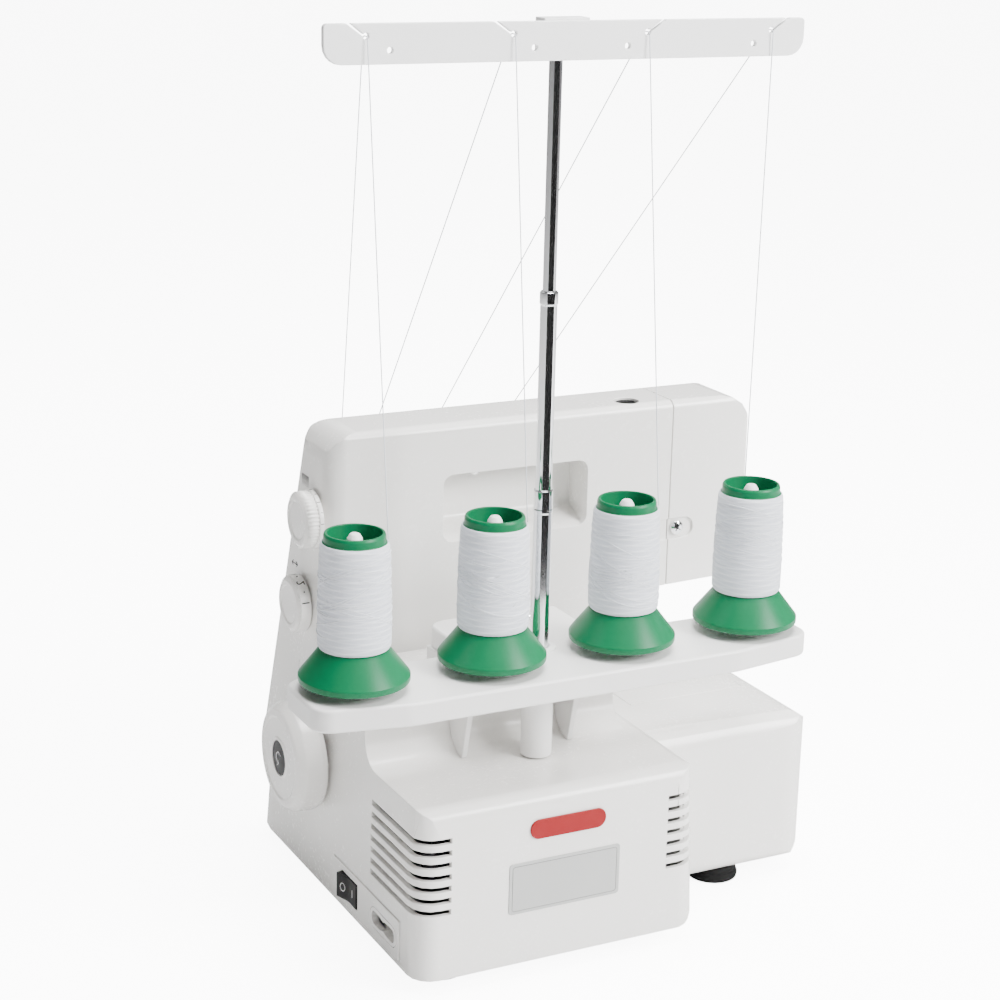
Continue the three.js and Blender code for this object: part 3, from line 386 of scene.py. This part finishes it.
spools = {"row": 18.8, "pitch": 77.7, "y": 87.2, "flange": 28.5, "seat": 170.9, "windLow": 188.6,
          "windHigh": 243.7, "top": 248.4, "strays": 14, "strayTilt": 13, "strayLevel": (204, 229),
          "strayTurns": (2.0, 3.4), "strayThick": 0.48}
spoolX = [spools["row"] + k * spools["pitch"] for k in (1.5, 0.5, -0.5, -1.5)]
strand = {"thick": 0.6, "eyeX": (127.1, 49.0, -26.2, -99.9), "eyeZ": 488.3, "barY": 76.1, "barThick": 3.0,
          "offX": (-14.8, -14.8, -14.8, -6.0), "offY": (7.6, 7.6, 7.6, -15.5),
          "guideX": (76, 55.6, 17.9, -28), "guideY": -70.65, "guideZ": 255.7, "turnOver": 1.9,
          "foldZ": 244.9, "keep": 0.2199}


def strandPath(i):  # winding, eye of the guide bar, front guide
    start = Vector((spoolX[i] + strand["offX"][i], spools["y"] + strand["offY"][i], spools["windHigh"] + 1.2))
    eye = Vector((strand["eyeX"][i], strand["barY"] + strand["barThick"] / 2, strand["eyeZ"]))
    back, front = eye + Vector((0, 3.0, 0)), eye - Vector((0, 2.3, 0))
    end = Vector((strand["guideX"][i], strand["guideY"], strand["guideZ"]))
    points = [start.lerp(back, k / 24) for k in range(24)]
    for corner, to in ((back, front), (front, end)):  # small arcs over the eye
        come = (corner - points[-1]).normalized() * strand["turnOver"]
        go = (to - corner).normalized() * strand["turnOver"]
        for k in range(9):
            t = k / 8
            points.append((corner - come) * (1 - t) ** 2 + corner * 2 * t * (1 - t) + (corner + go) * t ** 2)
    away = front + (end - front).normalized() * 2
    return points + [away.lerp(end, k / 25) for k in range(1, 26)]


def makeStrands():
    for i in range(4):
        path = strandPath(i)
        name = f"looseThread{i + 1}"
        form = tubeForm(path, strand["thick"] / 2, 8)
        piece = lodge(name, meshOf(form, name), "machine", "thread", [f"thread_{i + 1}"])
        along = sum((b - a).length for a, b in zip(path, path[1:])) * mm
        tuple(path[0] * mm)
        [tuple(p * mm) for p in path]
        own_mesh(piece)


makeStrands()
print("threads strung")

shellEdges = {"housing": 0.4, "face_cover": 0.4, "switch_panel": 0.25, "cloth_plate": 0.25,
              "tension_panel": 0.3}
for node, width in shellEdges.items():
    softened(node, "machine", "shell", width)
softened("looper_cover", "front_door", "shell", 0.4)
print("shells softened")

# low is a painted shade colour for the grooves between turns, high the lighter colour of the ridges
winding = {"pitch": 0.62, "crossPitch": 2.9, "crossTurns": 3.4, "crossSharp": 5.0, "strength": 0.85,
           "depth": 0.22, "low": (0.52, 0.55, 0.62), "high": (0.90, 0.92, 0.96)}


def crossingTurns(x):  # turns lying across the winding
    form = bmesh.new()
    for k in range(spools["strays"]):
        tilt, phase = chance.uniform(-spools["strayTilt"], spools["strayTilt"]), chance.uniform(0, 6.3)
        level, reach = chance.uniform(*spools["strayLevel"]), chance.uniform(*spools["strayTurns"])
        points = []
        for t in (reach * math.pi * j / 70 for j in range(71)):
            z = min(max(level + tilt * math.sin(t * 0.8 + phase), 192), 240)
            r = 18.9 - max(z - 200, 0) * 0.025
            points.append((x + r * math.cos(t + phase * 3), spools["y"] + r * math.sin(t + phase * 3), z))
        tubeForm(points, spools["strayThick"] / 2, 6, form)
    return form


def makeSpools():
    low, high, wide = spools["seat"], spools["top"], spools["flange"]
    first, last = spools["windLow"], spools["windHigh"]
    core = smoothProfile([[wide - 2.1, low, 0.4], [wide, low, 0.9], [wide, low + 3.4, 0.8],
                          [17.8, first - 0.5, 1.2], [16.6, first - 0.3, 0.3], [16.4, first - 0.2],
                          [16.2, last - 0.1], [15.7, last + 0.2, 0.2], [15.7, high - 1.4, 0.8],
                          [15.2, high, 0.6], [13.9, high, 0.5], [13.5, high - 14, 1.6],
                          [5.4, high - 14.6, 0.5], [5.4, high - 16.4], [14.2, high - 16.9],
                          [14.2, first - 2.1], [25.4, low + 2.2]], 4)
    wind = smoothProfile([[16.5, first], [17.9, first + 0.1, 0.4], [18.7, first + 1.6, 1.6],
                          [18.8, first + 11.4, 2], [17.9, last - 7.7, 3], [17.5, last - 1.9, 1.4],
                          [16.9, last - 0.3, 0.5], [16.5, last - 0.05]], 4)
    for i, x in enumerate(spoolX):
        centre, body = (x, spools["y"], 0), f"spool_{i + 1}"
        form = weld(closedLathe(core, centre, count=72))
        lodge(f"spoolCore{i + 1}", meshOf(form, "core"), body, "core", [f"spool_core_{i + 1}"])
        form = weld(closedLathe(wind, centre, count=96))
        wound = woundThread(f"woundThread{i + 1}", centre, winding)
        lodge(f"threadWinding{i + 1}", meshOf(form, "wind"), body, wound, [f"thread_cone_{i + 1}"])
        lodge(f"crossTurns{i + 1}", meshOf(crossingTurns(x), "stray"), body, "thread")


makeSpools()
print("spools wound")

shell = {"shoulder": 138.0, "wallY": 44.2, "bulgeTop": 104.4, "curl": 16.0, "rear": 118.7, "side": 113,
         "leanFrom": 70, "lean": 0.0443}
plate = {"top": 166.0, "thick": 12.5, "left": -127.0, "right": 165.6, "front": 62.5, "rear": 119.0,
         "tab": (-19.0, 60.0), "tabFront": 11.0, "edge": 1.8, "bend": 97.0, "bendBy": 8.5,
         "ribs": (-26.5, 38), "ribThick": 3.2, "screwX": (4, 37), "screwY": 27, "pinTop": 248.1}
mast = {"x": 21.6, "y": 71.5, "lowR": 5.1, "midR": 4.4, "topR": 3.4, "lowFoot": 108.4, "midFoot": 240.0,
        "topFoot": 345.0, "lowTop": 254.0, "midTop": 359.0, "top": 487.0, "band": 241.5}


def plateOutline():
    x0, x1 = plate["tab"]
    front, rear, bent = plate["front"], plate["rear"], plate["rear"] - plate["bendBy"]
    return arcCorners([[plate["left"], front, 12], [x0, front, 3], [x0, plate["tabFront"], 6],
                       [x1, plate["tabFront"], 10], [x1, front, 3], [plate["right"], front, 12],
                       [plate["right"], bent, 12], [mast["x"] + plate["bend"], rear, 30],
                       [mast["x"] - plate["bend"], rear, 30], [plate["left"], bent, 12]], 8)


def ribSide(under):  # between the shoulder, the curled wall and the plate
    wall, level, curl = shell["wallY"], shell["shoulder"], shell["curl"]
    y, z, r = wall + 1 + curl, shell["bulgeTop"] + curl, curl - 0.3
    curve = [(y + r * math.cos(t), z + r * math.sin(t)) for t in (math.pi * (1 + k / 20) for k in range(11))]
    return [(15, level + 0.3), (wall - 7.2, level + 0.3), (wall - 1.6, level - 2.0),
            (wall + 0.3, level - 7.6), *curve, (73, under + 0.5), (15, under + 0.5)]


def makeStand():
    top = plate["top"]
    under = top - plate["thick"]
    form = slabForm(plateOutline(), under, top)
    slab = lodge("spoolPlate", meshOf(form, "spoolPlate"), "machine", "stand", ["spool_plate"])
    rounded(slab, plate["edge"], 4, 40)
    for k, x in enumerate(mast["x"] + step for step in plate["ribs"]):
        form = slabForm(ribSide(under), x - plate["ribThick"] / 2, x + plate["ribThick"] / 2, "X")
        rounded(lodge(f"standRib{k + 1}", meshOf(form, "rib"), "machine", "stand"), 0.5, 2, 40)
    at, foot = (mast["x"], mast["y"], 0), shell["bulgeTop"] + 1.0
    boss = smoothProfile([[0, foot], [8.5, foot, 0.7], [8.5, under - 2.6, 2.4], [11, under + 0.4]], 5)
    lodge("mastBoss", meshOf(latheForm(boss, at), "boss"), "machine", "stand")
    collar = smoothProfile([[5.5, top - 0.6], [9.4, top - 0.6], [9.2, top + 0.9, 0.6], [6.4, top + 1.6, 0.5],
                            [5.5, top + 1.0]], 4)
    lodge("mastCollar", meshOf(weld(closedLathe(collar, at)), "collar"), "machine", "stand")
    tip = plate["pinTop"]
    pin = smoothProfile([[0, top - 0.4], [17, top - 0.4], [17, top + 3.6, 0.8], [12, top + 4.5, 0.8],
                         [4.4, top + 4.7, 0.8], [4.0, tip - 2.9, 2.2], [2.4, tip - 0.3, 1.6], [0, tip]], 5)
    for i, x in enumerate(spoolX):
        form = latheForm(pin, (x, spools["y"], 0), count=40)
        lodge(f"spoolPin{i + 1}", meshOf(form, "pin"), "machine", "bar")
    screw = smoothProfile([[0, top - 0.3], [4.2, top - 0.3], [4.2, top + 1.9, 0.7], [3.0, top + 2.6, 0.8],
                           [0, top + 2.6]], 4)
    for k, x in enumerate(plate["screwX"]):
        form = latheForm(screw, (x, plate["screwY"], 0), count=32)
        lodge(f"standScrew{k + 1}", meshOf(form, "screw"), "machine", "chrome")


makeStand()


def makeMast():  # rings close to each corner keep the reflections straight
    centre = (mast["x"], mast["y"], 0)
    r, foot, top, band = mast["lowR"], mast["lowFoot"], mast["lowTop"], mast["band"]
    low = smoothProfile([[r - 0.4, foot], [r, foot], [r, foot + 0.6], [r, plate["top"] - 1], [r, band - 0.6],
                         [r, band], [r + 0.25, band + 0.5, 0.3], [r + 0.25, band + 1.7, 0.3], [r, band + 2.2],
                         [r, band + 2.7], [r, top - 1.4], [r, top - 0.6, 0.4], [r - 0.4, top],
                         [r - 0.4, top - 1.0]], 3)
    form = weld(closedLathe(low, centre, count=48))
    lodge("mastLower", meshOf(form, "mastLower"), "machine", "chrome", ["pole_lower"])
    r, foot, top = mast["midR"], mast["midFoot"], mast["midTop"]
    middle = smoothProfile([[r - 0.4, foot], [r, foot], [r, foot + 0.6], [r, top - 7.8], [r, top - 7.0],
                            [r + 0.4, top - 6.4, 0.3], [r + 0.4, top - 0.8, 0.5], [r - 0.2, top],
                            [r - 0.4, top - 0.4]], 3)
    form = weld(closedLathe(middle, centre, count=48))
    lodge("mastMiddle", meshOf(form, "mastMiddle"), "mast_middle", "chrome", ["pole_middle"])
    r, foot, top = mast["topR"], mast["topFoot"], mast["top"]
    upper = smoothProfile([[0, foot], [r, foot], [r, foot + 0.6], [r, top - 1.4], [r, top - 0.6, 0.4],
                           [0, top]], 3)
    form = latheForm(upper, centre, count=48)
    lodge("mastUpper", meshOf(form, "mastUpper"), "mast_top", "chrome", ["pole_upper"])


makeMast()
softened("guide_bar", "mast_top", "bar", 0.45, 3)
print("stand and mast built")

wheel = {"y": -24.8, "z": 83.8, "radius": 31.5, "inner": 114.3, "outer": 133.2, "bore": 6.3, "disc": 10.2,
         "arrow": 3.4, "arrowFrom": 40, "arrowStep": 8, "arrowSteps": 28}


def makeWheel():
    centre, inner, outer, r = (0, wheel["y"], wheel["z"]), wheel["inner"], wheel["outer"], wheel["radius"]
    bore, disc = wheel["bore"], wheel["disc"]
    rim = smoothProfile([[bore, inner], [r - 6, inner, 0.8], [r - 1.2, inner + 1.2, 1.6],
                         [r, inner + 4.5, 2.0], [r - 0.3, outer - 5.2, 3.4], [r - 3.6, outer - 0.5, 3.0],
                         [r - 7.4, outer, 1.2], [r - 8.6, outer - 0.7, 0.6], [disc + 2.2, outer - 0.6, 0.5],
                         [disc + 1.2, outer, 0.6], [disc, outer, 0.3], [disc, outer - 1.6],
                         [bore, outer - 1.6]], 6)
    form = weld(closedLathe(rim, centre, "X", 128))
    lodge("wheelRim", meshOf(form, "wheelRim"), "drive", "shell", ["handwheel"])
    face = smoothProfile([[0, outer - 1.4], [disc - 0.2, outer - 1.4], [disc - 0.2, outer - 0.5, 0.3],
                          [0, outer - 0.3]], 3)
    form = latheForm(face, centre, "X", 48)
    lodge("wheelBadge", meshOf(form, "wheelBadge"), "drive", "black", ["wheel_badge"])
    x, bend = outer - 0.25, wheel["arrow"]  # a plain turning arrow
    turns = [math.radians(wheel["arrowFrom"] + wheel["arrowStep"] * k)
             for k in range(wheel["arrowSteps"] + 1)]
    ring = [Vector((x, wheel["y"] + bend * math.cos(t), wheel["z"] + bend * math.sin(t))) for t in turns]
    arrow = tubeForm(ring, 0.3, 8)
    tip = turns[-1]
    for side in (-1, 1):
        barb = Vector((0, math.sin(tip) + side * math.cos(tip), -math.cos(tip) + side * math.sin(tip))) * 1.4
        tubeForm([ring[-1], ring[-1] + barb], 0.28, 8, arrow)
    lodge("wheelArrow", meshOf(arrow, "wheelArrow"), "drive", "printWhite")


def sideFace(z):  # the right side leans in above the bed
    return shell["side"] - shell["lean"] * max(0, z - shell["leanFrom"])


def ridgedRing(centre, inner, outer, radius, count, depth):
    outline = []
    for k in range(4 * count):
        r, t = radius - depth * (1 if k % 4 < 2 else 0), math.pi * k / (2 * count)
        outline.append((r * math.cos(t) + centre[0], r * math.sin(t) + centre[1]))
    return slabForm(outline, inner, outer, "X")


dial = {"face": 117.4, "gap": 0.6, "skirtR": 16.4, "gripR": 16.0, "capR": 15.1, "ridges": 44,
        "ridgeDeep": 0.65, "digit": 6.6, "firstDigit": 18, "digitStep": 44}


def dialMarks(centre, start, skirt, numbered):  # dots between the numbers, or a plain scale
    marks = bmesh.new()
    for k in range(5 if numbered else 13):
        t = math.radians(k * dial["digitStep"] + 40 if numbered else k * 22 + 5)
        inset, long, thick = (skirt / 2 - 0.3, 0.6, 0.42) if numbered else (0.3, 1.1 if k % 2 else 1.9, 0.18)
        r = dial["skirtR"] + 0.02
        a = Vector((start + inset, centre[0] + r * math.cos(t), centre[1] + r * math.sin(t)))
        tubeForm([a, a + Vector((long, 0, 0))], thick, 6, marks)
    return marks


def wrappedDigit(sign, turn, centre, x):  # wrapped round the skirt, reading along it
    letter = bpy.data.curves.new("digit", "FONT")
    letter.body, letter.size, letter.extrude = sign, dial["digit"] * mm, 0.08 * mm
    letter.align_x = letter.align_y = "CENTER"
    holder = bpy.data.objects.new("digit", letter)
    flat = bpy.data.meshes.new_from_object(holder)
    bpy.data.objects.remove(holder)
    for v in flat.vertices:
        t = turn - v.co.x / (dial["skirtR"] * mm)
        r = (dial["skirtR"] + 0.05) * mm + v.co.z
        v.co = Vector((x * mm + v.co.y, centre[0] * mm + r * math.cos(t), centre[1] * mm + r * math.sin(t)))
    return flat


def makeDial(node, body, centre, skirt, numbers):
    start, face = sideFace(centre[1]) + dial["gap"], dial["face"]
    spot, wide, cap, name = (0, *centre), dial["skirtR"], dial["capR"], node.replace("_", "")
    step = start + skirt
    knob = smoothProfile([[0, start], [wide, start, 0.4], [wide, step, 0.6], [cap, step + 0.4, 0.3],
                          [cap, face - 1.8], [cap + 0.1, face - 1.1, 0.6], [cap - 1.5, face, 0.9],
                          [cap - 3.7, face - 0.2, 0.6], [cap - 4.7, face - 0.8, 0.6], [0, face - 0.7]], 5)
    grip = ridgedRing(centre, step + 0.2, face - 1.3, dial["gripR"], dial["ridges"], dial["ridgeDeep"])
    form = joinForms(latheForm(knob, spot, "X", 96), grip)
    lodge(name + "Knob", meshOf(form, "dial"), body, "shell", [node])
    marks = dialMarks(centre, start, skirt, bool(numbers))
    lodge(name + "Marks", meshOf(marks, "marks"), body, "print")
    for k, sign in enumerate(numbers):
        turn = math.radians(dial["firstDigit"] + dial["digitStep"] * k)
        digit = wrappedDigit(sign, turn, centre, start + skirt / 2)
        lodge(f"dialDigit{k + 1}", digit, body, "print")


makeWheel()
makeDial("feed_dial", "feed_knob", (-36.4, 217.6), 2.5, "")
makeDial("length_dial", "length_knob", (-49.6, 164.6), 6.0, "12345")
print("handwheel and dials turned")

badge = {"x": (4, 49), "z": (79, 90), "corner": 5.4, "proud": 1.0}
label = {"x": (-5.5, 60.6), "z": (38, 67), "corner": 2, "proud": 0.45, "inset": (1.9, 1.8),
         "line": 0.16}


def frameOf(look, inset=(0, 0), corner=None):
    (x0, x1), (z0, z1), (dx, dz) = look["x"], look["z"], inset
    r = look["corner"] if corner is None else corner
    return [[x0 + dx, z0 + dz, r], [x1 - dx, z0 + dz, r], [x1 - dx, z1 - dz, r], [x0 + dx, z1 - dz, r]]


def makeRearPlates():
    rear = shell["rear"]
    form = slabForm(arcCorners(frameOf(badge), 10), rear + 0.05, rear + badge["proud"], "Y")
    piece = lodge("rearBadge", meshOf(form, "badge"), "machine", "badge", ["rear_badge"])
    rounded(piece, 0.35, 3, 40)
    form = slabForm(arcCorners(frameOf(label), 6), rear + 0.05, rear + label["proud"], "Y")
    piece = lodge("ratingLabel", meshOf(form, "label"), "machine", "label", ["rating_plate"])
    rounded(piece, 0.12, 2, 40)
    loop = [(p[0], rear + label["proud"], p[1]) for p in arcCorners(frameOf(label, label["inset"], 1.4), 5)]
    border = tubeForm(loop + loop[:1], label["line"], 6)
    lodge("labelBorder", meshOf(border, "border"), "machine", "labelLine")


rocker = {"x": 113.6, "y": 31.2, "z": 24.0, "tilt": 8, "half": 10.6, "halfHigh": 7.2, "deep": 3, "lip": 2.4,
          "dip": 0.5}


def makeRocker():
    half, lip = rocker["half"], rocker["lip"]
    side = arcCorners([[-half, -rocker["deep"], 0.8], [half, -rocker["deep"], 0.8], [half, lip, 0.8],
                       [0, rocker["dip"], 14], [-half, lip, 0.8]], 6)
    form = slabForm(side, -rocker["halfHigh"], rocker["halfHigh"])
    outward = Matrix(((0, 1, 0, 0), (-1, 0, 0, 0), (0, 0, 1, 0), (0, 0, 0, 1)))
    turn = Matrix.Translation(Vector((rocker["x"], rocker["y"], rocker["z"])) * mm) \
        @ Matrix.Rotation(math.radians(rocker["tilt"]), 4, "Z") @ outward
    form.transform(turn)
    rounded(lodge("rockerCap", meshOf(form, "rocker"), "switch", "black", ["rocker"]), 0.4, 3, 40)
    ring = [(5.0 + 1.9 * math.cos(t), 1.35 + 0.36 * math.cos(t), 2.3 * math.sin(t))
            for t in (2 * math.pi * k / 24 for k in range(25))]
    marks = tubeForm(ring, 0.28, 6)
    tubeForm([(-5.2, 1.4, -2.3), (-5.2, 1.4, 2.3)], 0.3, 6, marks)
    marks.transform(turn)
    lodge("rockerMarks", meshOf(marks, "marks"), "switch", "printWhite")


feet = {"spots": ((-107, 54.5), (-140, -92), (88, 92), (88, -92)), "radius": 15, "high": 8.7}


def makeFeet():
    r, high = feet["radius"], feet["high"]
    foot = smoothProfile([[0, 0], [r - 2.8, 0, 0.6], [r - 0.4, 1.0, 0.8], [r, 3.2, 1.2], [r - 0.8, 5.6, 0.6],
                          [r - 1.4, 5.8, 0.3], [r - 1.4, high], [0, high]], 5)
    for i, (x, y) in enumerate(feet["spots"]):
        form = latheForm(foot, (x, y, 0), count=56)
        lodge(f"rubberFoot{i + 1}", meshOf(form, "foot"), "machine", "rubber", [f"foot_{i + 1}"])


def crossScrew(name, x, y, z, r, nodes=()):
    head = smoothProfile([[0, y - 1.4], [r * 0.72, y - 1.4], [r, y - 1.1, 0.2], [r, y + 0.1, 0.5],
                          [r * 0.6, y + 0.8, 0.6], [0, y + 1.0]], 4)
    lodge(name, meshOf(latheForm(head, (x, 0, z), "Y", 40), name), "machine", "chrome", nodes)
    cross, spot = bmesh.new(), Vector((x, y + 0.86, z))
    for t in (0.6, 0.6 + math.pi / 2):
        step = Vector((math.cos(t), 0, math.sin(t))) * r * 0.52
        tubeForm([spot - step, spot + step], 0.34, 6, cross)
    lodge(name + "Cross", meshOf(cross, "cross"), "machine", "print")


settings = {"bars": 7, "barFront": -56.5, "barStep": 1.5, "barZ": (232, 238.5), "barAt": 236,
            "arrowY": (-66.5, -58.5), "arrowZ": 184}


def makeSettingMarks():  # plain setting marks beside the dials
    prints, x = bmesh.new(), sideFace(settings["barAt"]) - 0.05
    for k in range(settings["bars"]):
        y = settings["barFront"] + settings["barStep"] * k
        tubeForm([(x, y, z) for z in settings["barZ"]], 0.2, 5, prints)
    z, ends = settings["arrowZ"], settings["arrowY"]
    x = sideFace(z) - 0.05
    tubeForm([(x, y, z) for y in ends], 0.22, 5, prints)
    for end, back in zip(ends, (1, -1)):
        for rise in (-1, 1):
            tubeForm([(x, end, z), (x, end + back * 1.8, z + rise * 1.4)], 0.2, 5, prints)
    lodge("settingMarks", meshOf(prints, "prints"), "machine", "print")


makeRearPlates()
makeRocker()
makeFeet()
crossScrew("coverScrewHead", -118, -18.8, 190.8, 4.2, ["cover_screw"])
crossScrew("gripScrewHead", 7, -38.6, 234.7, 3.2)
makeSettingMarks()
print("small pieces made")

# frontY and frontZ are the top edge that the front face leans from, slope is its lean
tension = {"x": (-30, 4, 38, 72), "z": 198, "half": 3.5, "radius": 19, "ridges": 40, "marks": 10,
           "frontY": -60.9, "frontZ": 268.6, "slope": 0.2376, "inset": 10}


def makeTensionDials():
    z, half, r = tension["z"], tension["half"], tension["radius"]
    y = tension["frontY"] - tension["slope"] * (tension["frontZ"] - z) + tension["inset"]
    for i, x in enumerate(tension["x"]):
        side = smoothProfile([[2.8, x - half], [14.6, x - half, 0.6], [r - 0.5, x - half + 1.0, 0.8],
                              [r - 0.5, x + half - 1.0, 0.8], [14.6, x + half, 0.6], [2.8, x + half]], 4)
        grip = ridgedRing((y, z), x - half + 1.2, x + half - 1.2, r, tension["ridges"], 0.5)
        form = joinForms(weld(closedLathe(side, (0, y, z), "X", 72)), grip)
        body = f"tension_{i + 1}"
        lodge(f"tensionWheel{i + 1}", meshOf(form, "tension"), body, "shell",
              [f"tension_dial_{i + 1}"])
        marks = bmesh.new()
        for t in (2 * math.pi * k / tension["marks"] for k in range(tension["marks"])):
            a = Vector((x - 1.2, y + (r + 0.02) * math.cos(t), z + (r + 0.02) * math.sin(t)))
            tubeForm([a, a + Vector((2.4, 0, 0))], 0.2, 5, marks)
        lodge(f"tensionMarks{i + 1}", meshOf(marks, "marks"), body, "print")


makeTensionDials()
for node, body, slotName, finish in (
        ("needle_clamp", "needle", "steel", "steel"), ("presser_foot", "presser", "chrome", "chrome"),
        ("needle_plate", "machine", "steel", "steel"), ("front_guide", "machine", "steel", "steel"),
        ("presser_lifter", "lifter", "steel", "steel"), ("inlet_socket", "machine", "shell", "shell")):
    softened(node, body, finish, 0.2)
print("sewing head and tension wheels made")

for node, kept in frame["nodes"].items():  # the CAD solids that stay, mostly inside
    if kept.hide_render:
        continue
    slotName = next(s["material_slot"] for s in frame["record"]["subparts"] if s["node"] == node)
    if not kept.material_slots:
        kept.data.materials.append(finishes[slotName])
    for place in kept.material_slots:
        place.material = finishes[slotName]

studio = {"floor": (0.95, 0.95, 0.95), "glow": 9.0, "reach": 9000, "world": 0.30, "target": (0, 30, 200),
          "card": {"from": -22, "to": 80, "tall": 900, "away": 560},
          "lights": (("keyLight", (-1100, 1500, 1250), 900, 100), ("topLight", (-200, 100, 2200), 1100, 95),
                     ("rimLight", (-300, -1600, 1500), 1400, 5))}


def makeFloors(look):
    paint = Paint("floorPaint", {"Roughness": 0.6, "Emission Strength": look["glow"],
                                 "Emission Color": (1, 1, 1, 1)})
    dim = tuple(c * 0.985 for c in look["floor"])
    paint.feed("Base Color", paint.shade(paint.noise(paint.place(), 300.0), dim, look["floor"]))
    far = look["reach"]
    form = slabForm([(-far, -far), (far, -far), (far, far), (-far, far)], -20, -0.02)
    floor = bpy.data.objects.new("studioFloor", meshOf(form, "studioFloor", False))
    floor.data.materials.append(paint.material)
    plain = Paint("bouncePaint", {"Roughness": 0.7})  # the floor as the machine sees it, without the glow
    cloud = plain.noise(plain.place(), 300.0)
    plain.feed("Base Color", plain.shade(cloud, (0.86, 0.86, 0.86), (0.88, 0.88, 0.88)))
    bounce = bpy.data.objects.new("bounceFloor", floor.data.copy())
    bounce.data.materials[0] = plain.material
    bounce.location.z = -0.2 * mm
    for ground in (floor, bounce):
        scene.collection.objects.link(ground)
    floor.visible_diffuse = floor.visible_glossy = floor.visible_shadow = bounce.visible_camera = False


def makeCard(card):  # a dark card seen only in polished pieces, curved round the mast
    dark = Paint("darkCard", {"Base Color": (0.003, 0.003, 0.003, 1), "Roughness": 0.9})
    dark.feed("Roughness", dark.noise(dark.place(), 60.0) * 0.1 + 0.85)
    form, rows, sweep = bmesh.new(), [], card["to"] - card["from"]
    for k in range(13):
        t = math.radians(cameraLook["turn"] - card["from"] - sweep * k / 12)
        spot = Vector((mast["x"] + card["away"] * math.sin(t), mast["y"] + card["away"] * math.cos(t), 0))
        rows.append([form.verts.new((spot + Vector((0, 0, z))) * mm) for z in (5, card["tall"])])
    for a, b in zip(rows, rows[1:]):
        form.faces.new((a[0], b[0], b[1], a[1]))
    board = bpy.data.objects.new("darkCard", meshOf(form, "darkCard", False))
    board.data.materials.append(dark.material)
    scene.collection.objects.link(board)
    board.visible_camera = board.visible_diffuse = board.visible_shadow = board.visible_transmission = False


def makeLights(look):
    world = bpy.data.worlds.new("softRoom")
    world.use_nodes = True
    world.node_tree.nodes["Background"].inputs[0].default_value = (1.0, 1.0, 1.0, 1.0)
    world.node_tree.nodes["Background"].inputs[1].default_value = look["world"]
    scene.world = world
    target = Vector(look["target"]) * mm
    for name, spot, size, power in look["lights"]:
        data = bpy.data.lights.new(name, "AREA")
        data.energy, data.size = power, size * mm
        lamp = bpy.data.objects.new(name, data)
        lamp.location = Vector(spot) * mm
        lamp.rotation_euler = (target - lamp.location).to_track_quat("-Z", "Y").to_euler()
        scene.collection.objects.link(lamp)


makeFloors(studio)
makeCard(studio["card"])
makeLights(studio)
print("studio lit")
